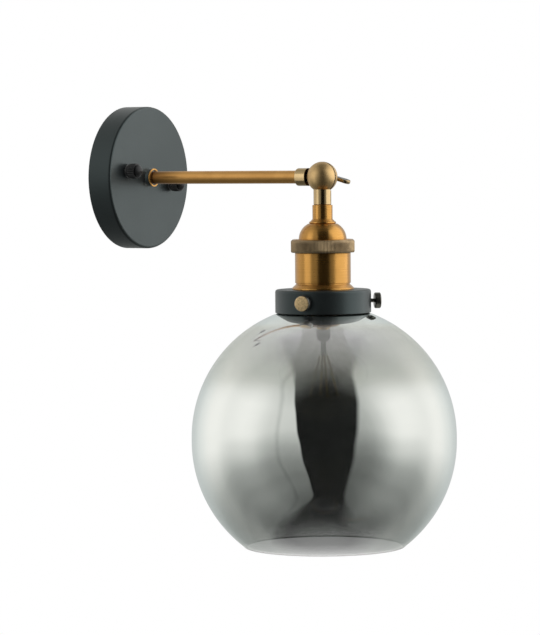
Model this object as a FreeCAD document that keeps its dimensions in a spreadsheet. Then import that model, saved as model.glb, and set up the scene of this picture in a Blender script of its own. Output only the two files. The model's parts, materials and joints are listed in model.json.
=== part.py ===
"""Wall lamp: a level arm on a round canopy, a clamped ball knuckle, and a lamp holder with a globe shade.

Millimetres. The wall is the plane y = 0 and the arm runs out along -Y with +Z up.
Wall pieces are drawn with their own Z axis pointing out of the wall.
Head pieces are drawn with their own Z axis pointing down from the knuckle's pivot.
"""

import FreeCAD, Part
import math
import os
from types import SimpleNamespace

import Sketcher

Vector = FreeCAD.Vector
Rotation = FreeCAD.Rotation

SIZES = {
    # wall cup
    "canopy_diameter": 110,
    "canopy_depth": 20,
    "canopy_wall": 1.2,
    "canopy_edge": 2.2,
    # canopy nuts and the studs that carry them
    "stud_pitch": 61,
    "nut_angle": 10,
    "nut_diameter": 11.6,
    "nut_foot_diameter": 10.2,
    "nut_foot": 2,
    "nut_length": 12,
    "nut_dome": 2.4,
    "nut_grip": 7.5,
    "nut_flutes": 26,
    "stud_diameter": 4,
    "lock_nut_width": 7,
    "lock_nut_thick": 3.2,
    # wall bracket
    "bracket_length": 76,
    "bracket_width": 18,
    "bracket_thick": 2,
    "tab_width": 30,
    "tab_reach": 42,
    "wall_hole_circle": 40,
    "wall_hole": 5,
    "cable_hole": 12,
    # mains terminal
    "pole_pitch": 8,
    "pole_width": 6.4,
    "block_height": 16,
    "block_foot": 4.5,
    "block_depth": 11,
    "block_rise": 29,
    "wire_hole": 3.2,
    "wire_level": 5,
    "terminal_screw": 3.2,
    "terminal_screw_sink": 0.8,
    "earth_screw": 4,
    "earth_head": 7.6,
    "earth_head_thick": 2.6,
    "earth_screw_side": 9.5,
    "earth_screw_rise": 14.5,
    # arm
    "arm_diameter": 9.8,
    "arm_wall": 1.1,
    "arm_reach": 155.5,
    "arm_tail": 10,
    "arm_nut_width": 14,
    "arm_nut_thick": 4,
    "arm_washer_diameter": 18,
    "arm_washer_thick": 1,
    "collar_diameter": 14.2,
    "collar_thick": 3.4,
    "collar_ring_thick": 0.9,
    "collar_ring_width": 1.1,
    "wire_diameter": 2.2,
    "wire_pitch": 2.6,
    "wire_bend": 4,
    # knuckle
    "ball_diameter": 23,
    "ball_wall": 3,
    "seam_gap": 0.6,
    "stub_diameter": 13.4,
    "stub_reach": 21,
    "stub_socket": 7,
    "sweep_gap": 1.6,
    "boss_diameter": 9,
    "wire_passage": 7,
    "clamp_diameter": 4,
    "clamp_end_wall": 3,
    "clamp_seat_diameter": 9,
    "wing_hub_diameter": 8,
    "wing_hub_length": 3.4,
    "wing_span": 29,
    "wing_lobe": 4.2,
    "wing_thick": 2.8,
    "wing_angle": 18,
    # lamp holder
    "nipple_diameter": 9.8,
    "nipple_wall": 1.4,
    "cap_neck_diameter": 15.2,
    "cap_neck_length": 11.7,
    "cap_bead_diameter": 20.4,
    "cap_bead_thick": 2.4,
    "dome_top_diameter": 22,
    "dome_inset": 3,
    "dome_height": 11.7,
    "dome_wall": 1,
    "thread_inset": 0.9,
    "cap_flange_thick": 1.5,
    "ring_stand": 3,
    "ring_height": 9.9,
    "ring_lip": 1.5,
    "ring_chamfer": 1.4,
    "ring_flutes": 90,
    "flute_width": 0.9,
    "flute_depth": 0.45,
    "body_diameter": 42,
    "body_height": 22.9,
    "body_wall": 1.4,
    "groove_height": 0.9,
    "groove_depth": 0.7,
    "flare_stand": 2.5,
    "flare_height": 4.8,
    "flare_lip": 1.1,
    "spigot_inset": 2,
    "spigot_wall": 1,
    "spigot_length": 12.6,
    # ceramic insert and contacts
    "insert_height": 40,
    "insert_neck_gap": 0.5,
    "insert_neck_height": 10,
    "insert_floor": 16,
    "shell_diameter": 29.4,
    "shell_wall": 0.5,
    "contact_width": 6,
    "contact_thick": 0.6,
    "contact_reach": 8,
    "contact_rise": 2.2,
    "insert_screw": 3.4,
    "insert_screw_head": 6,
    "insert_screw_head_thick": 2,
    "insert_screw_depth": 5,
    "insert_screw_pitch": 18,
    "wire_port_pitch": 18,
    "wire_port_side": 8,
    # gallery
    "gallery_room": 3.1,
    "gallery_height": 17.5,
    "gallery_wall": 1.5,
    "gallery_edge": 2.1,
    "shade_ring_width": 5.2,
    "shade_ring_thick": 4.5,
    # thumb screws
    "screw_angle": 189,
    "screw_level": 9,
    "screw_diameter": 3,
    "screw_stand": 3,
    "screw_head": 12,
    "screw_head_thick": 4.6,
    "screw_head_edge": 1.4,
    "screw_head_crown": 0.5,
    # globe
    "globe_radius": 100,
    "globe_belt": 3,
    "globe_cut": 80,
    "globe_wall": 2.4,
    "globe_seat": 0.4,
    "globe_shoulder": 3,
    "globe_neck_room": 1.6,
    "globe_lip_stand": 3,
    "globe_lip_thick": 3,
    "globe_lip_drop": 2.4,
    # bulb
    "bulb_diameter": 60,
    "bulb_neck": 31.6,
    "bulb_sweep": 40,
    "bulb_wall": 0.8,
    "bulb_length": 108,
    "bulb_root": 24.6,
    "bulb_root_length": 3,
    "bulb_cone": 4,
    "bulb_cap_diameter": 26.4,
    "bulb_cap_length": 26,
    "bulb_cap_wall": 0.5,
    "bulb_tip_diameter": 9.4,
    "bulb_tip_thick": 1.6,
    "bulb_insulator_diameter": 20.6,
    "bulb_insulator_thick": 3,
    "stem_diameter": 10.4,
    "stem_length": 26,
    "stem_tip_diameter": 4,
    "stem_tip_length": 10,
    "filament_diameter": 1.6,
    "filament_length": 32,
    "filament_top_circle": 6,
    "filament_foot_circle": 22,
    # clearances
    "fit_gap": 0.1,
    "turning_gap": 0.3,
}

THUMB_SCREWS = 3
POLES = 3
FILAMENTS = 4

os.makedirs("parts", exist_ok=True)
doc = FreeCAD.newDocument("wall_lamp")
sheet = doc.addObject("Spreadsheet::Sheet", "Sizes")
for row, (alias, number) in enumerate(SIZES.items(), start=1):
    sheet.set(f"A{row}", alias)
    sheet.set(f"B{row}", str(number))
    sheet.setAlias(f"B{row}", alias)
doc.recompute()


class Size:
    """A length or angle together with the formula that ties it to the sheet."""

    def __init__(self, number, formula):
        self.number = float(number)
        self.formula = formula

    def __add__(self, other):
        other = as_size(other)
        return Size(self.number + other.number, f"({self.formula} + {other.formula})")

    def __sub__(self, other):
        other = as_size(other)
        return Size(self.number - other.number, f"({self.formula} - {other.formula})")

    def __mul__(self, other):
        other = as_size(other)
        return Size(self.number * other.number, f"({self.formula} * {other.formula})")

    def __truediv__(self, other):
        other = as_size(other)
        return Size(self.number / other.number, f"({self.formula} / {other.formula})")

    def __neg__(self):
        return Size(-self.number, f"(0 - {self.formula})")

    def __rsub__(self, other):
        return as_size(other) - self

    __radd__ = __add__
    __rmul__ = __mul__


def as_size(value):
    return value if isinstance(value, Size) else Size(value, repr(value))


def root(size):
    return Size(math.sqrt(size.number), f"sqrt({size.formula})")


def cosine(angle):
    return Size(math.cos(math.radians(angle.number)), f"cos({angle.formula})")


def sine(angle):
    return Size(math.sin(math.radians(angle.number)), f"sin({angle.formula})")


S = SimpleNamespace(**{alias: Size(getattr(sheet, alias), f"Sizes.{alias}") for alias in SIZES})
ZERO = as_size(0)

# Levels out from the wall, and the pivot of the knuckle
face = S.canopy_depth
pivot = face + S.arm_reach

# Levels down from the pivot
neck_end = S.stub_reach + S.cap_neck_length
bead_end = neck_end + S.cap_bead_thick
dome_end = bead_end + S.dome_height
ring_end = dome_end + S.ring_height
body_end = ring_end + S.body_height
flare_end = body_end + S.flare_height
gallery_end = flare_end + S.gallery_height
screw_drop = flare_end + S.screw_level

OUT_OF_WALL = Rotation(Vector(1, 0, 0), 90)
DOWN = Rotation(Vector(1, 0, 0), 180)
TO_RIGHT = Rotation(Vector(0, 1, 0), Vector(0, 0, 1), Vector(1, 0, 0), "ZXY")
TO_LEFT = Rotation(Vector(0, 0, -1), Vector(0, -1, 0), Vector(-1, 0, 0), "ZXY")

pieces = {}


def finish(label, piece):
    """Name the piece and add it to those written out."""
    piece.Label = label
    pieces[label] = piece
    return piece


def bind(piece, **sizes):
    for path, size in sizes.items():
        piece.setExpression(path, as_size(size).formula)


def place(piece, rotation, x=0, y=0, z=0):
    """Put the piece at a bound point with a fixed rotation."""
    spots = [as_size(x), as_size(y), as_size(z)]
    piece.Placement = FreeCAD.Placement(Vector(*[spot.number for spot in spots]), rotation)
    for axis, spot in zip("xyz", spots):
        piece.setExpression(f"Placement.Base.{axis}", spot.formula)
    return piece


def at_wall(piece, out=0):
    return place(piece, OUT_OF_WALL, y=-as_size(out))


def at_head(piece, rotation=DOWN):
    return place(piece, rotation, y=-pivot)


def sketch_on(body, role, name, lift=0, clock=None):
    """A sketch on one of the body's own planes, lifted along its normal and turned about it."""
    sketch = body.newObject("Sketcher::SketchObject", name)
    plane = next(item for item in body.Origin.OriginFeatures if item.Role == role)
    sketch.AttachmentSupport = [(plane, "")]
    sketch.MapMode = "FlatFace"
    sketch.AttachmentOffset = FreeCAD.Placement(Vector(), Rotation(Vector(0, 0, 1), 1))
    sketch.setExpression("AttachmentOffset.Base.z", as_size(lift).formula)
    sketch.setExpression("AttachmentOffset.Rotation.Angle", as_size(clock or 0).formula)
    return sketch


def hold(sketch, kind, place_in_sketch, size):
    index = sketch.addConstraint(Sketcher.Constraint(kind, *place_in_sketch, size.number))
    sketch.setExpression(f"Constraints[{index}]", size.formula)


def hold_point(sketch, geometry, end, across, up):
    hold(sketch, "DistanceX", (geometry, end), across)
    hold(sketch, "DistanceY", (geometry, end), up)


def arc_between(start, end, bend):
    """The arc from start to end: it turns left for a positive bend and right for a negative one."""
    half = (end - start) * 0.5
    rise = math.sqrt(max(bend * bend - half.Length ** 2, 0))
    left = Vector(-half.y, half.x, 0).normalize()
    centre = start + half + left * math.copysign(rise, bend)
    angles = [math.atan2(point.y - centre.y, point.x - centre.x) for point in (start, end)]
    if bend < 0:
        angles.reverse()
    if angles[1] < angles[0]:
        angles[1] += 2 * math.pi
    return Part.ArcOfCircle(Part.Circle(centre, Vector(0, 0, 1), abs(bend)), *angles)


def draw(sketch, corners):
    """A closed outline of (across, up) corners; a third value bends the side that leaves the corner."""
    corners = [[as_size(value) for value in corner] for corner in corners]
    points = [Vector(corner[0].number, corner[1].number, 0) for corner in corners]
    ends = []
    for index, corner in enumerate(corners):
        start, end = points[index], points[(index + 1) % len(points)]
        bend = corner[2] if len(corner) == 3 else None
        if bend is None:
            geometry = sketch.addGeometry(Part.LineSegment(start, end), False)
            ends.append((geometry, 1, 2))
        else:
            geometry = sketch.addGeometry(arc_between(start, end, bend.number), False)
            ends.append((geometry, 1, 2) if bend.number > 0 else (geometry, 2, 1))
    for index, (geometry, first, last) in enumerate(ends):
        following = ends[(index + 1) % len(ends)]
        sketch.addConstraint(Sketcher.Constraint("Coincident", geometry, last, following[0], following[1]))
    for (geometry, first, last), corner in zip(ends, corners):
        hold_point(sketch, geometry, first, corner[0], corner[1])
        if len(corner) == 3:
            radius = corner[2] if corner[2].number > 0 else -corner[2]
            hold(sketch, "Radius", (geometry,), radius)


def draw_circles(sketch, circles):
    for across, up, diameter in circles:
        across, up, diameter = as_size(across), as_size(up), as_size(diameter)
        circle = Part.Circle(Vector(across.number, up.number, 0), Vector(0, 0, 1), diameter.number / 2)
        geometry = sketch.addGeometry(circle, False)
        hold_point(sketch, geometry, 3, across, up)
        hold(sketch, "Diameter", (geometry,), diameter)


def box_corners(across, up, width, height):
    left, right = across - width / 2, across + width / 2
    low, high = up - height / 2, up + height / 2
    return [(left, low), (right, low), (right, high), (left, high)]


def feature(body, kind, sketch, **sizes):
    made = body.newObject("PartDesign::" + kind, f"{body.Name}_{kind}")
    made.Profile = sketch
    bind(made, **sizes)
    return made


def new_body(name):
    return doc.addObject("PartDesign::Body", name)


def turn(body, kind, corners):
    """Turn an outline of (radius, along) corners about the body's Z axis."""
    sketch = sketch_on(body, "XZ_Plane", f"{body.Name}_{kind}_outline")
    draw(sketch, corners)
    made = feature(body, kind, sketch)
    made.ReferenceAxis = (sketch, ["V_Axis"])
    made.Angle = 360
    return made


def turned(name, corners):
    body = new_body(name)
    turn(body, "Revolution", corners)
    return body


def pad(body, sketch, length, symmetric=False):
    made = feature(body, "Pad", sketch, Length=length)
    if symmetric:
        made.SideType = "Symmetric"
    return made


def cut_through(body, sketch):
    made = feature(body, "Pocket", sketch)
    made.Type = "ThroughAll"
    made.SideType = "Symmetric"
    return made


def cut_depth(body, sketch, depth):
    return feature(body, "Pocket", sketch, Length=depth)


def repeat_round(body, cut, count):
    """Repeat a cut evenly round the body's Z axis."""
    pattern = body.newObject("PartDesign::PolarPattern", f"{cut.Name}_round")
    pattern.Originals = [cut]
    axis = next(item for item in body.Origin.OriginFeatures if item.Role == "Z_Axis")
    pattern.Axis = (axis, [""])
    pattern.Angle = 360
    bind(pattern, Occurrences=count)
    body.Tip = pattern


def tube_corners(inner, outer, start, end):
    """Outline of a plain ring or sleeve, given by its diameters and its two ends."""
    return [(inner / 2, start), (outer / 2, start), (outer / 2, end), (inner / 2, end)]


def rod(name, diameter, start, end, rotation, x=0, y=0, z=0):
    """A plain round bar along its own Z axis."""
    bar = doc.addObject("Part::Cylinder", name)
    bind(bar, Radius=diameter / 2, Height=end - start)
    return place(bar, rotation, x, y, z)


def hex_nut(name, width, thick, hole):
    nut = new_body(name)
    corner = width / math.sqrt(3)
    spokes = [(corner * math.cos(math.radians(60 * k)), corner * math.sin(math.radians(60 * k)))
              for k in range(6)]
    blank = sketch_on(nut, "XY_Plane", name + "_flats")
    draw(blank, spokes)
    draw_circles(blank, [(0, 0, hole)])
    pad(nut, blank, thick)
    return nut


def group(name, members):
    compound = doc.addObject("Part::Compound", name)
    compound.Links = members
    return finish(name, compound)


def flute(body, radius, start, end, depth, width, count):
    """Cut a row of shallow lengthwise flutes round the body."""
    sketch = sketch_on(body, "XY_Plane", body.Name + "_flute", lift=end)
    tip = radius - depth
    edge = radius + depth
    draw(sketch, [(tip, 0), (edge, -width), (edge, width)])
    repeat_round(body, cut_depth(body, sketch, end - start), count)


def rounded_route(points, bend):
    """A wire of straight runs through the points, joined by tangent arcs."""
    edges = []
    start = points[0]
    for before, corner, after in zip(points, points[1:], points[2:]):
        towards = (corner - before).normalize()
        away = (after - corner).normalize()
        half_turn = towards.getAngle(away) / 2
        trim = bend * math.tan(half_turn)
        first, last = corner - towards * trim, corner + away * trim
        inward = (away - towards).normalize()
        middle = corner + inward * bend * (1 / math.cos(half_turn) - 1)
        edges.append(Part.makeLine(start, first))
        edges.append(Part.Arc(first, middle, last).toShape())
        start = last
    edges.append(Part.makeLine(start, points[-1]))
    return Part.Wire(edges)


def insulated_wire(points, diameter, bend):
    route = rounded_route(points, bend)
    direction = points[1] - points[0]
    section = Part.Wire(Part.makeCircle(diameter / 2, points[0], direction))
    return route.makePipeShell([section], True, False)


def wires(name, routes):
    """A pair of wires in their own frame; the caller places them."""
    shapes = [insulated_wire(points, sheet.wire_diameter, sheet.wire_bend) for points in routes]
    piece = doc.addObject("Part::Feature", name)
    piece.Shape = Part.makeCompound(shapes)
    return finish(name, piece)


# Canopy
canopy_radius = S.canopy_diameter / 2
arm_hole = S.arm_diameter + 2 * S.fit_gap
stud_hole = S.stud_diameter + 2 * S.fit_gap
inside_face = face - S.canopy_wall
canopy = turned("canopy", [
    (arm_hole / 2, inside_face),
    (canopy_radius - S.canopy_edge, inside_face, -(S.canopy_edge - S.canopy_wall)),
    (canopy_radius - S.canopy_wall, face - S.canopy_edge),
    (canopy_radius - S.canopy_wall, 0),
    (canopy_radius, 0),
    (canopy_radius, face - S.canopy_edge, S.canopy_edge),
    (canopy_radius - S.canopy_edge, face),
    (arm_hole / 2, face),
])
stud_spots = [(S.stud_pitch / 2, 0), (-S.stud_pitch / 2, 0)]
holes = sketch_on(canopy, "XY_Plane", "canopy_holes", clock=-S.nut_angle)
draw_circles(holes, [(across, up, stud_hole) for across, up in stud_spots])
cut_through(canopy, holes)
finish("canopy", at_wall(canopy))

# Wall bracket: a strip on the line of the studs, and an upright tab
bracket = new_body("wall_bracket")
strip = sketch_on(bracket, "XY_Plane", "bracket_strip", clock=-S.nut_angle)
draw(strip, box_corners(ZERO, ZERO, S.bracket_length, S.bracket_width))
pad(bracket, strip, S.bracket_thick)
tab = sketch_on(bracket, "XY_Plane", "bracket_tab")
draw(tab, box_corners(ZERO, S.tab_reach / 2, S.tab_width, S.tab_reach))
pad(bracket, tab, S.bracket_thick)
holes = sketch_on(bracket, "XY_Plane", "bracket_holes", clock=-S.nut_angle)
draw_circles(holes, [(across, up, stud_hole) for across, up in stud_spots])
draw_circles(holes, [(S.wall_hole_circle / 2, 0, S.wall_hole), (-S.wall_hole_circle / 2, 0, S.wall_hole)])
draw_circles(holes, [(0, 0, S.cable_hole)])
cut_through(bracket, holes)
earth_hole = sketch_on(bracket, "XY_Plane", "bracket_earth_hole")
draw_circles(earth_hole, [(S.earth_screw_side, S.earth_screw_rise, S.earth_screw + 2 * S.fit_gap)])
cut_through(bracket, earth_hole)
finish("wall_bracket", at_wall(bracket))

# Studs, their lock nuts and the two cap nuts
stud_end = face + S.nut_grip
studs, lock_nuts = [], []
for side, across in (("right", S.stud_pitch / 2), ("left", -S.stud_pitch / 2)):
    x = across * cosine(S.nut_angle)
    z = -across * sine(S.nut_angle)
    studs.append(rod(f"stud_{side}", S.stud_diameter, ZERO, stud_end, OUT_OF_WALL, x=x, z=z))
    lock_nut = hex_nut(f"lock_nut_{side}", S.lock_nut_width, S.lock_nut_thick, stud_hole)
    lock_nuts.append(place(lock_nut, OUT_OF_WALL, x=x, y=-S.bracket_thick, z=z))
    nut_radius = S.nut_diameter / 2
    grip_end = S.nut_length - S.nut_dome
    bore_end = S.nut_grip + S.turning_gap
    cap_nut = turned(f"canopy_nut_{side}", [
        (stud_hole / 2, 0),
        (S.nut_foot_diameter / 2, 0),
        (S.nut_foot_diameter / 2, S.nut_foot),
        (nut_radius, S.nut_foot),
        (nut_radius, grip_end, S.nut_dome),
        (nut_radius - S.nut_dome, S.nut_length),
        (0, S.nut_length),
        (0, bore_end),
        (stud_hole / 2, bore_end),
    ])
    flute(cap_nut, nut_radius, S.nut_foot, grip_end, S.flute_depth, S.flute_width / 2, S.nut_flutes)
    finish(f"canopy_nut_{side}", place(cap_nut, OUT_OF_WALL, x=x, y=-face, z=z))
group("bracket_studs", studs)
group("stud_lock_nuts", lock_nuts)

# Mains terminal on the tab
pole_places = [S.pole_pitch * (pole - (POLES - 1) / 2) for pole in range(POLES)]
block_front = S.bracket_thick + S.block_depth
wire_line = S.bracket_thick + S.wire_level
block = new_body("terminal_block")
foot = sketch_on(block, "XY_Plane", "block_foot", lift=S.bracket_thick)
draw(foot, box_corners(ZERO, S.block_rise, S.pole_pitch * POLES, S.block_height))
pad(block, foot, S.block_foot)
for pole_place in pole_places:
    tower = sketch_on(block, "XY_Plane", "block_tower", lift=S.bracket_thick)
    draw(tower, box_corners(pole_place, S.block_rise, S.pole_width, S.block_height))
    pad(block, tower, S.block_depth)
wire_holes = sketch_on(block, "XZ_Plane", "block_wire_holes")
draw_circles(wire_holes, [(pole_place, wire_line, S.wire_hole) for pole_place in pole_places])
cut_through(block, wire_holes)
screw_spots = [(pole_place, S.block_rise + S.block_height / 4 * sign)
               for pole_place in pole_places for sign in (-1, 1)]
screw_holes = sketch_on(block, "XY_Plane", "block_screw_holes", lift=block_front)
draw_circles(screw_holes, [(*spot, S.terminal_screw + 2 * S.fit_gap) for spot in screw_spots])
cut_depth(block, screw_holes, block_front - wire_line)
finish("terminal_block", at_wall(block))
screw_foot = wire_line + S.wire_diameter / 2 + S.fit_gap
screw_top = block_front - S.terminal_screw_sink
group("terminal_screws", [
    rod("terminal_screw", S.terminal_screw, screw_foot, screw_top, OUT_OF_WALL, x, -screw_foot, z)
    for x, z in screw_spots])
earth_screw = turned("earth_screw", [
    (0, 0),
    (S.earth_screw / 2, 0),
    (S.earth_screw / 2, S.bracket_thick),
    (S.earth_head / 2, S.bracket_thick),
    (S.earth_head / 2, S.bracket_thick + S.earth_head_thick / 2, S.earth_head_thick / 2),
    (S.earth_head / 2 - S.earth_head_thick / 2, S.bracket_thick + S.earth_head_thick),
    (0, S.bracket_thick + S.earth_head_thick),
])
finish("earth_screw", place(earth_screw, OUT_OF_WALL, x=S.earth_screw_side, z=S.earth_screw_rise))

# Arm and its fixings in the canopy
arm_bore = S.arm_diameter - 2 * S.arm_wall
arm_start = face - S.arm_tail
arm_end = pivot - S.stub_reach + S.stub_socket
finish("arm_tube", at_wall(turned("arm_tube", tube_corners(arm_bore, S.arm_diameter, arm_start, arm_end))))
washer_start = inside_face - S.arm_washer_thick
arm_washer = turned("arm_lock_washer", tube_corners(
    arm_hole, S.arm_washer_diameter, washer_start, inside_face))
finish("arm_lock_washer", at_wall(arm_washer))
arm_nut = hex_nut("arm_lock_nut", S.arm_nut_width, S.arm_nut_thick, arm_hole)
finish("arm_lock_nut", at_wall(arm_nut, washer_start - S.arm_nut_thick))
collar_end = face + S.collar_thick
collar_ring_end = collar_end + S.collar_ring_thick
collar_ring_hole = S.collar_diameter - 2 * S.collar_ring_width
collar = turned("arm_collar", tube_corners(arm_hole, S.collar_diameter, face, collar_end))
finish("arm_collar", at_wall(collar))
collar_ring = turned("arm_collar_ring", tube_corners(
    collar_ring_hole, S.collar_diameter, collar_end, collar_ring_end))
finish("arm_collar_ring", at_wall(collar_ring))

# Wires from the terminal down into the arm, drawn as (x, z, out of the wall)
sweep_radius = S.ball_diameter / 2 + S.sweep_gap
wire_end = pivot - sweep_radius
arm_wire_routes = []
for side in (-1, 1):
    pole_x = side * sheet.pole_pitch
    inner_x = side * sheet.wire_pitch / 2
    level = wire_line.number
    block_bottom = sheet.block_rise - sheet.block_height / 2
    arm_wire_routes.append([
        Vector(pole_x, sheet.block_rise, level),
        Vector(pole_x, block_bottom - sheet.wire_diameter, level),
        Vector(inner_x, sheet.wire_bend * 1.5, level),
        Vector(inner_x, 0, level),
        Vector(inner_x, 0, wire_end.number),
    ])
at_wall(wires("arm_wires", arm_wire_routes))

# Knuckle
ball_radius = S.ball_diameter / 2
seam = S.seam_gap / 2
cavity_radius = ball_radius - S.ball_wall
clamp_hole = S.clamp_diameter + 2 * S.fit_gap
clamp_seat = root(ball_radius * ball_radius - S.clamp_seat_diameter * S.clamp_seat_diameter / 4)
socket_hole = S.arm_diameter + 2 * S.fit_gap
clamp_end = ball_radius - S.clamp_end_wall


def knuckle_half(name, pole_corners):
    """A half ball on the Z side of the seam with a stub along X, hollowed for the wires."""
    half = new_body(name)
    stub = sketch_on(half, "YZ_Plane", name + "_stub")
    draw_circles(stub, [(0, 0, S.stub_diameter)])
    pad(half, stub, S.stub_reach)
    turn(half, "Groove", [
        (0, -sweep_radius),
        (0, seam),
        (root(sweep_radius * sweep_radius - seam * seam), seam, -sweep_radius),
    ])
    turn(half, "Revolution", [(0, seam), (root(ball_radius * ball_radius - seam * seam), seam, ball_radius)]
         + pole_corners)
    turn(half, "Groove", [
        (S.boss_diameter / 2, seam),
        (root(cavity_radius * cavity_radius - seam * seam), seam, cavity_radius),
        (S.boss_diameter / 2, root(cavity_radius * cavity_radius - S.boss_diameter * S.boss_diameter / 4)),
    ])
    passage_depth = S.stub_reach - cavity_radius * 0.8
    for diameter, depth in ((socket_hole, S.stub_socket), (S.wire_passage, passage_depth)):
        bore = sketch_on(half, "YZ_Plane", name + "_bore", lift=S.stub_reach)
        draw_circles(bore, [(0, 0, diameter)])
        cut_depth(half, bore, depth)
    return half


arm_half = knuckle_half("knuckle_arm_half", [(S.clamp_seat_diameter / 2, clamp_seat), (0, clamp_seat)])
clamp_bore = sketch_on(arm_half, "XY_Plane", "arm_half_clamp_bore")
draw_circles(clamp_bore, [(0, 0, clamp_hole)])
cut_through(arm_half, clamp_bore)
finish("knuckle_arm_half", at_head(arm_half, TO_RIGHT))
head_half = knuckle_half("knuckle_head_half", [(0, ball_radius)])
turn(head_half, "Groove", [(0, seam), (clamp_hole / 2, seam), (clamp_hole / 2, clamp_end), (0, clamp_end)])
finish("knuckle_head_half", at_head(head_half, TO_LEFT))
washer_face = seam - S.fit_gap / 2
knuckle_washer = turned("knuckle_washer", tube_corners(
    2 * cavity_radius + S.fit_gap, S.ball_diameter - S.fit_gap * 4, -washer_face, washer_face))
finish("knuckle_washer", at_head(knuckle_washer, TO_RIGHT))

# Wing screw
hub_start = clamp_seat + S.fit_gap
hub_end = hub_start + S.wing_hub_length
lobe_side = S.wing_span / 2 - S.wing_lobe
lobe_low = hub_end - S.wing_lobe * 0.3
lobe_mid = lobe_low + S.wing_lobe
lobe_high = lobe_mid + S.wing_lobe
wing = turned("wing_screw", [
    (0, S.turning_gap - clamp_end),
    (S.clamp_diameter / 2, S.turning_gap - clamp_end),
    (S.clamp_diameter / 2, hub_start),
    (S.wing_hub_diameter / 2, hub_start),
    (S.wing_hub_diameter / 2, hub_end),
    (0, hub_end + S.wing_lobe),
])
wing_outline = sketch_on(wing, "XZ_Plane", "wing_outline")
draw(wing_outline, [
    (lobe_side, lobe_low, S.wing_lobe),
    (lobe_side + S.wing_lobe, lobe_mid, S.wing_lobe),
    (lobe_side, lobe_high),
    (0, lobe_mid),
    (-lobe_side, lobe_high, S.wing_lobe),
    (-lobe_side - S.wing_lobe, lobe_mid, S.wing_lobe),
    (-lobe_side, lobe_low),
    (-S.wing_hub_diameter / 2, hub_start + S.wing_hub_length * 0.4),
    (S.wing_hub_diameter / 2, hub_start + S.wing_hub_length * 0.4),
])
pad(wing, wing_outline, S.wing_thick, symmetric=True)
wing_turn = Rotation(Vector(1, 0, 0), sheet.wing_angle + 180).multiply(TO_RIGHT)
finish("wing_screw", at_head(wing, wing_turn))

# Nipple, cap, ring and body of the lamp holder
nipple_bore = S.nipple_diameter - 2 * S.nipple_wall
nipple_start = S.stub_reach - S.stub_socket + S.fit_gap
nipple_end = neck_end
nipple = turned("head_nipple", tube_corners(nipple_bore, S.nipple_diameter, nipple_start, nipple_end))
finish("head_nipple", at_head(nipple))

# Each round of the holder stands a little inside or outside the body's side
body_radius = S.body_diameter / 2
thread_radius = body_radius - S.thread_inset
dome_radius = body_radius - S.dome_inset
ring_radius = body_radius + S.ring_stand
flare_radius = body_radius + S.flare_stand
spigot_radius = body_radius - S.spigot_inset
spigot_inside = spigot_radius - S.spigot_wall
neck_radius = S.cap_neck_diameter / 2
bead_radius = S.cap_bead_diameter / 2
bead_half = S.cap_bead_thick / 2
nipple_hole = S.nipple_diameter + 2 * S.fit_gap
dome_swell = dome_radius - S.dome_top_diameter / 2
dome_bend = (dome_swell * dome_swell + S.dome_height * S.dome_height) / (2 * dome_swell)
inner_bend = dome_bend - S.dome_wall
roof = bead_end + S.dome_wall
roof_rise = dome_end - roof
roof_radius = dome_radius - dome_bend + root(inner_bend * inner_bend - roof_rise * roof_rise)
lip_end = dome_end + S.ring_lip
flange_start = lip_end + S.turning_gap
flange_end = flange_start + S.cap_flange_thick
cap = turned("holder_cap", [
    (nipple_hole / 2, S.stub_reach),
    (neck_radius, S.stub_reach),
    (neck_radius, neck_end),
    (bead_radius - bead_half, neck_end, bead_half),
    (bead_radius, neck_end + bead_half, bead_half),
    (bead_radius - bead_half, bead_end),
    (S.dome_top_diameter / 2, bead_end, dome_bend),
    (dome_radius, dome_end),
    (dome_radius, flange_start),
    (thread_radius, flange_start),
    (thread_radius, flange_end),
    (dome_radius - S.dome_wall, flange_end),
    (dome_radius - S.dome_wall, dome_end, -inner_bend),
    (roof_radius, roof),
    (nipple_hole / 2, roof),
])
finish("holder_cap", at_head(cap))

ring_inside = thread_radius + S.turning_gap
holder_ring = turned("holder_ring", [
    (dome_radius + S.turning_gap, dome_end),
    (ring_radius - S.ring_chamfer, dome_end),
    (ring_radius, dome_end + S.ring_chamfer),
    (ring_radius, ring_end),
    (ring_inside, ring_end),
    (ring_inside, lip_end),
    (dome_radius + S.turning_gap, lip_end),
])
flute(holder_ring, ring_radius, dome_end, ring_end, S.flute_depth, S.flute_width / 2, S.ring_flutes)
finish("holder_ring", at_head(holder_ring))

body_start = ring_end + S.turning_gap
spigot_end = flare_end + S.spigot_length
ledge = body_end
groove_end = body_end + S.groove_height
flare_edge = flare_end - S.flare_lip
holder_body = turned("holder_body", [
    (thread_radius - S.body_wall, flange_end),
    (thread_radius, flange_end),
    (thread_radius, body_start),
    (body_radius, body_start),
    (body_radius, body_end),
    (body_radius - S.groove_depth, body_end),
    (body_radius - S.groove_depth, groove_end),
    (flare_radius, flare_edge),
    (flare_radius, flare_end),
    (spigot_radius, flare_end),
    (spigot_radius, spigot_end),
    (spigot_inside, spigot_end),
    (spigot_inside, ledge),
    (thread_radius - S.body_wall, ledge),
])
finish("holder_body", at_head(holder_body))

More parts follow.
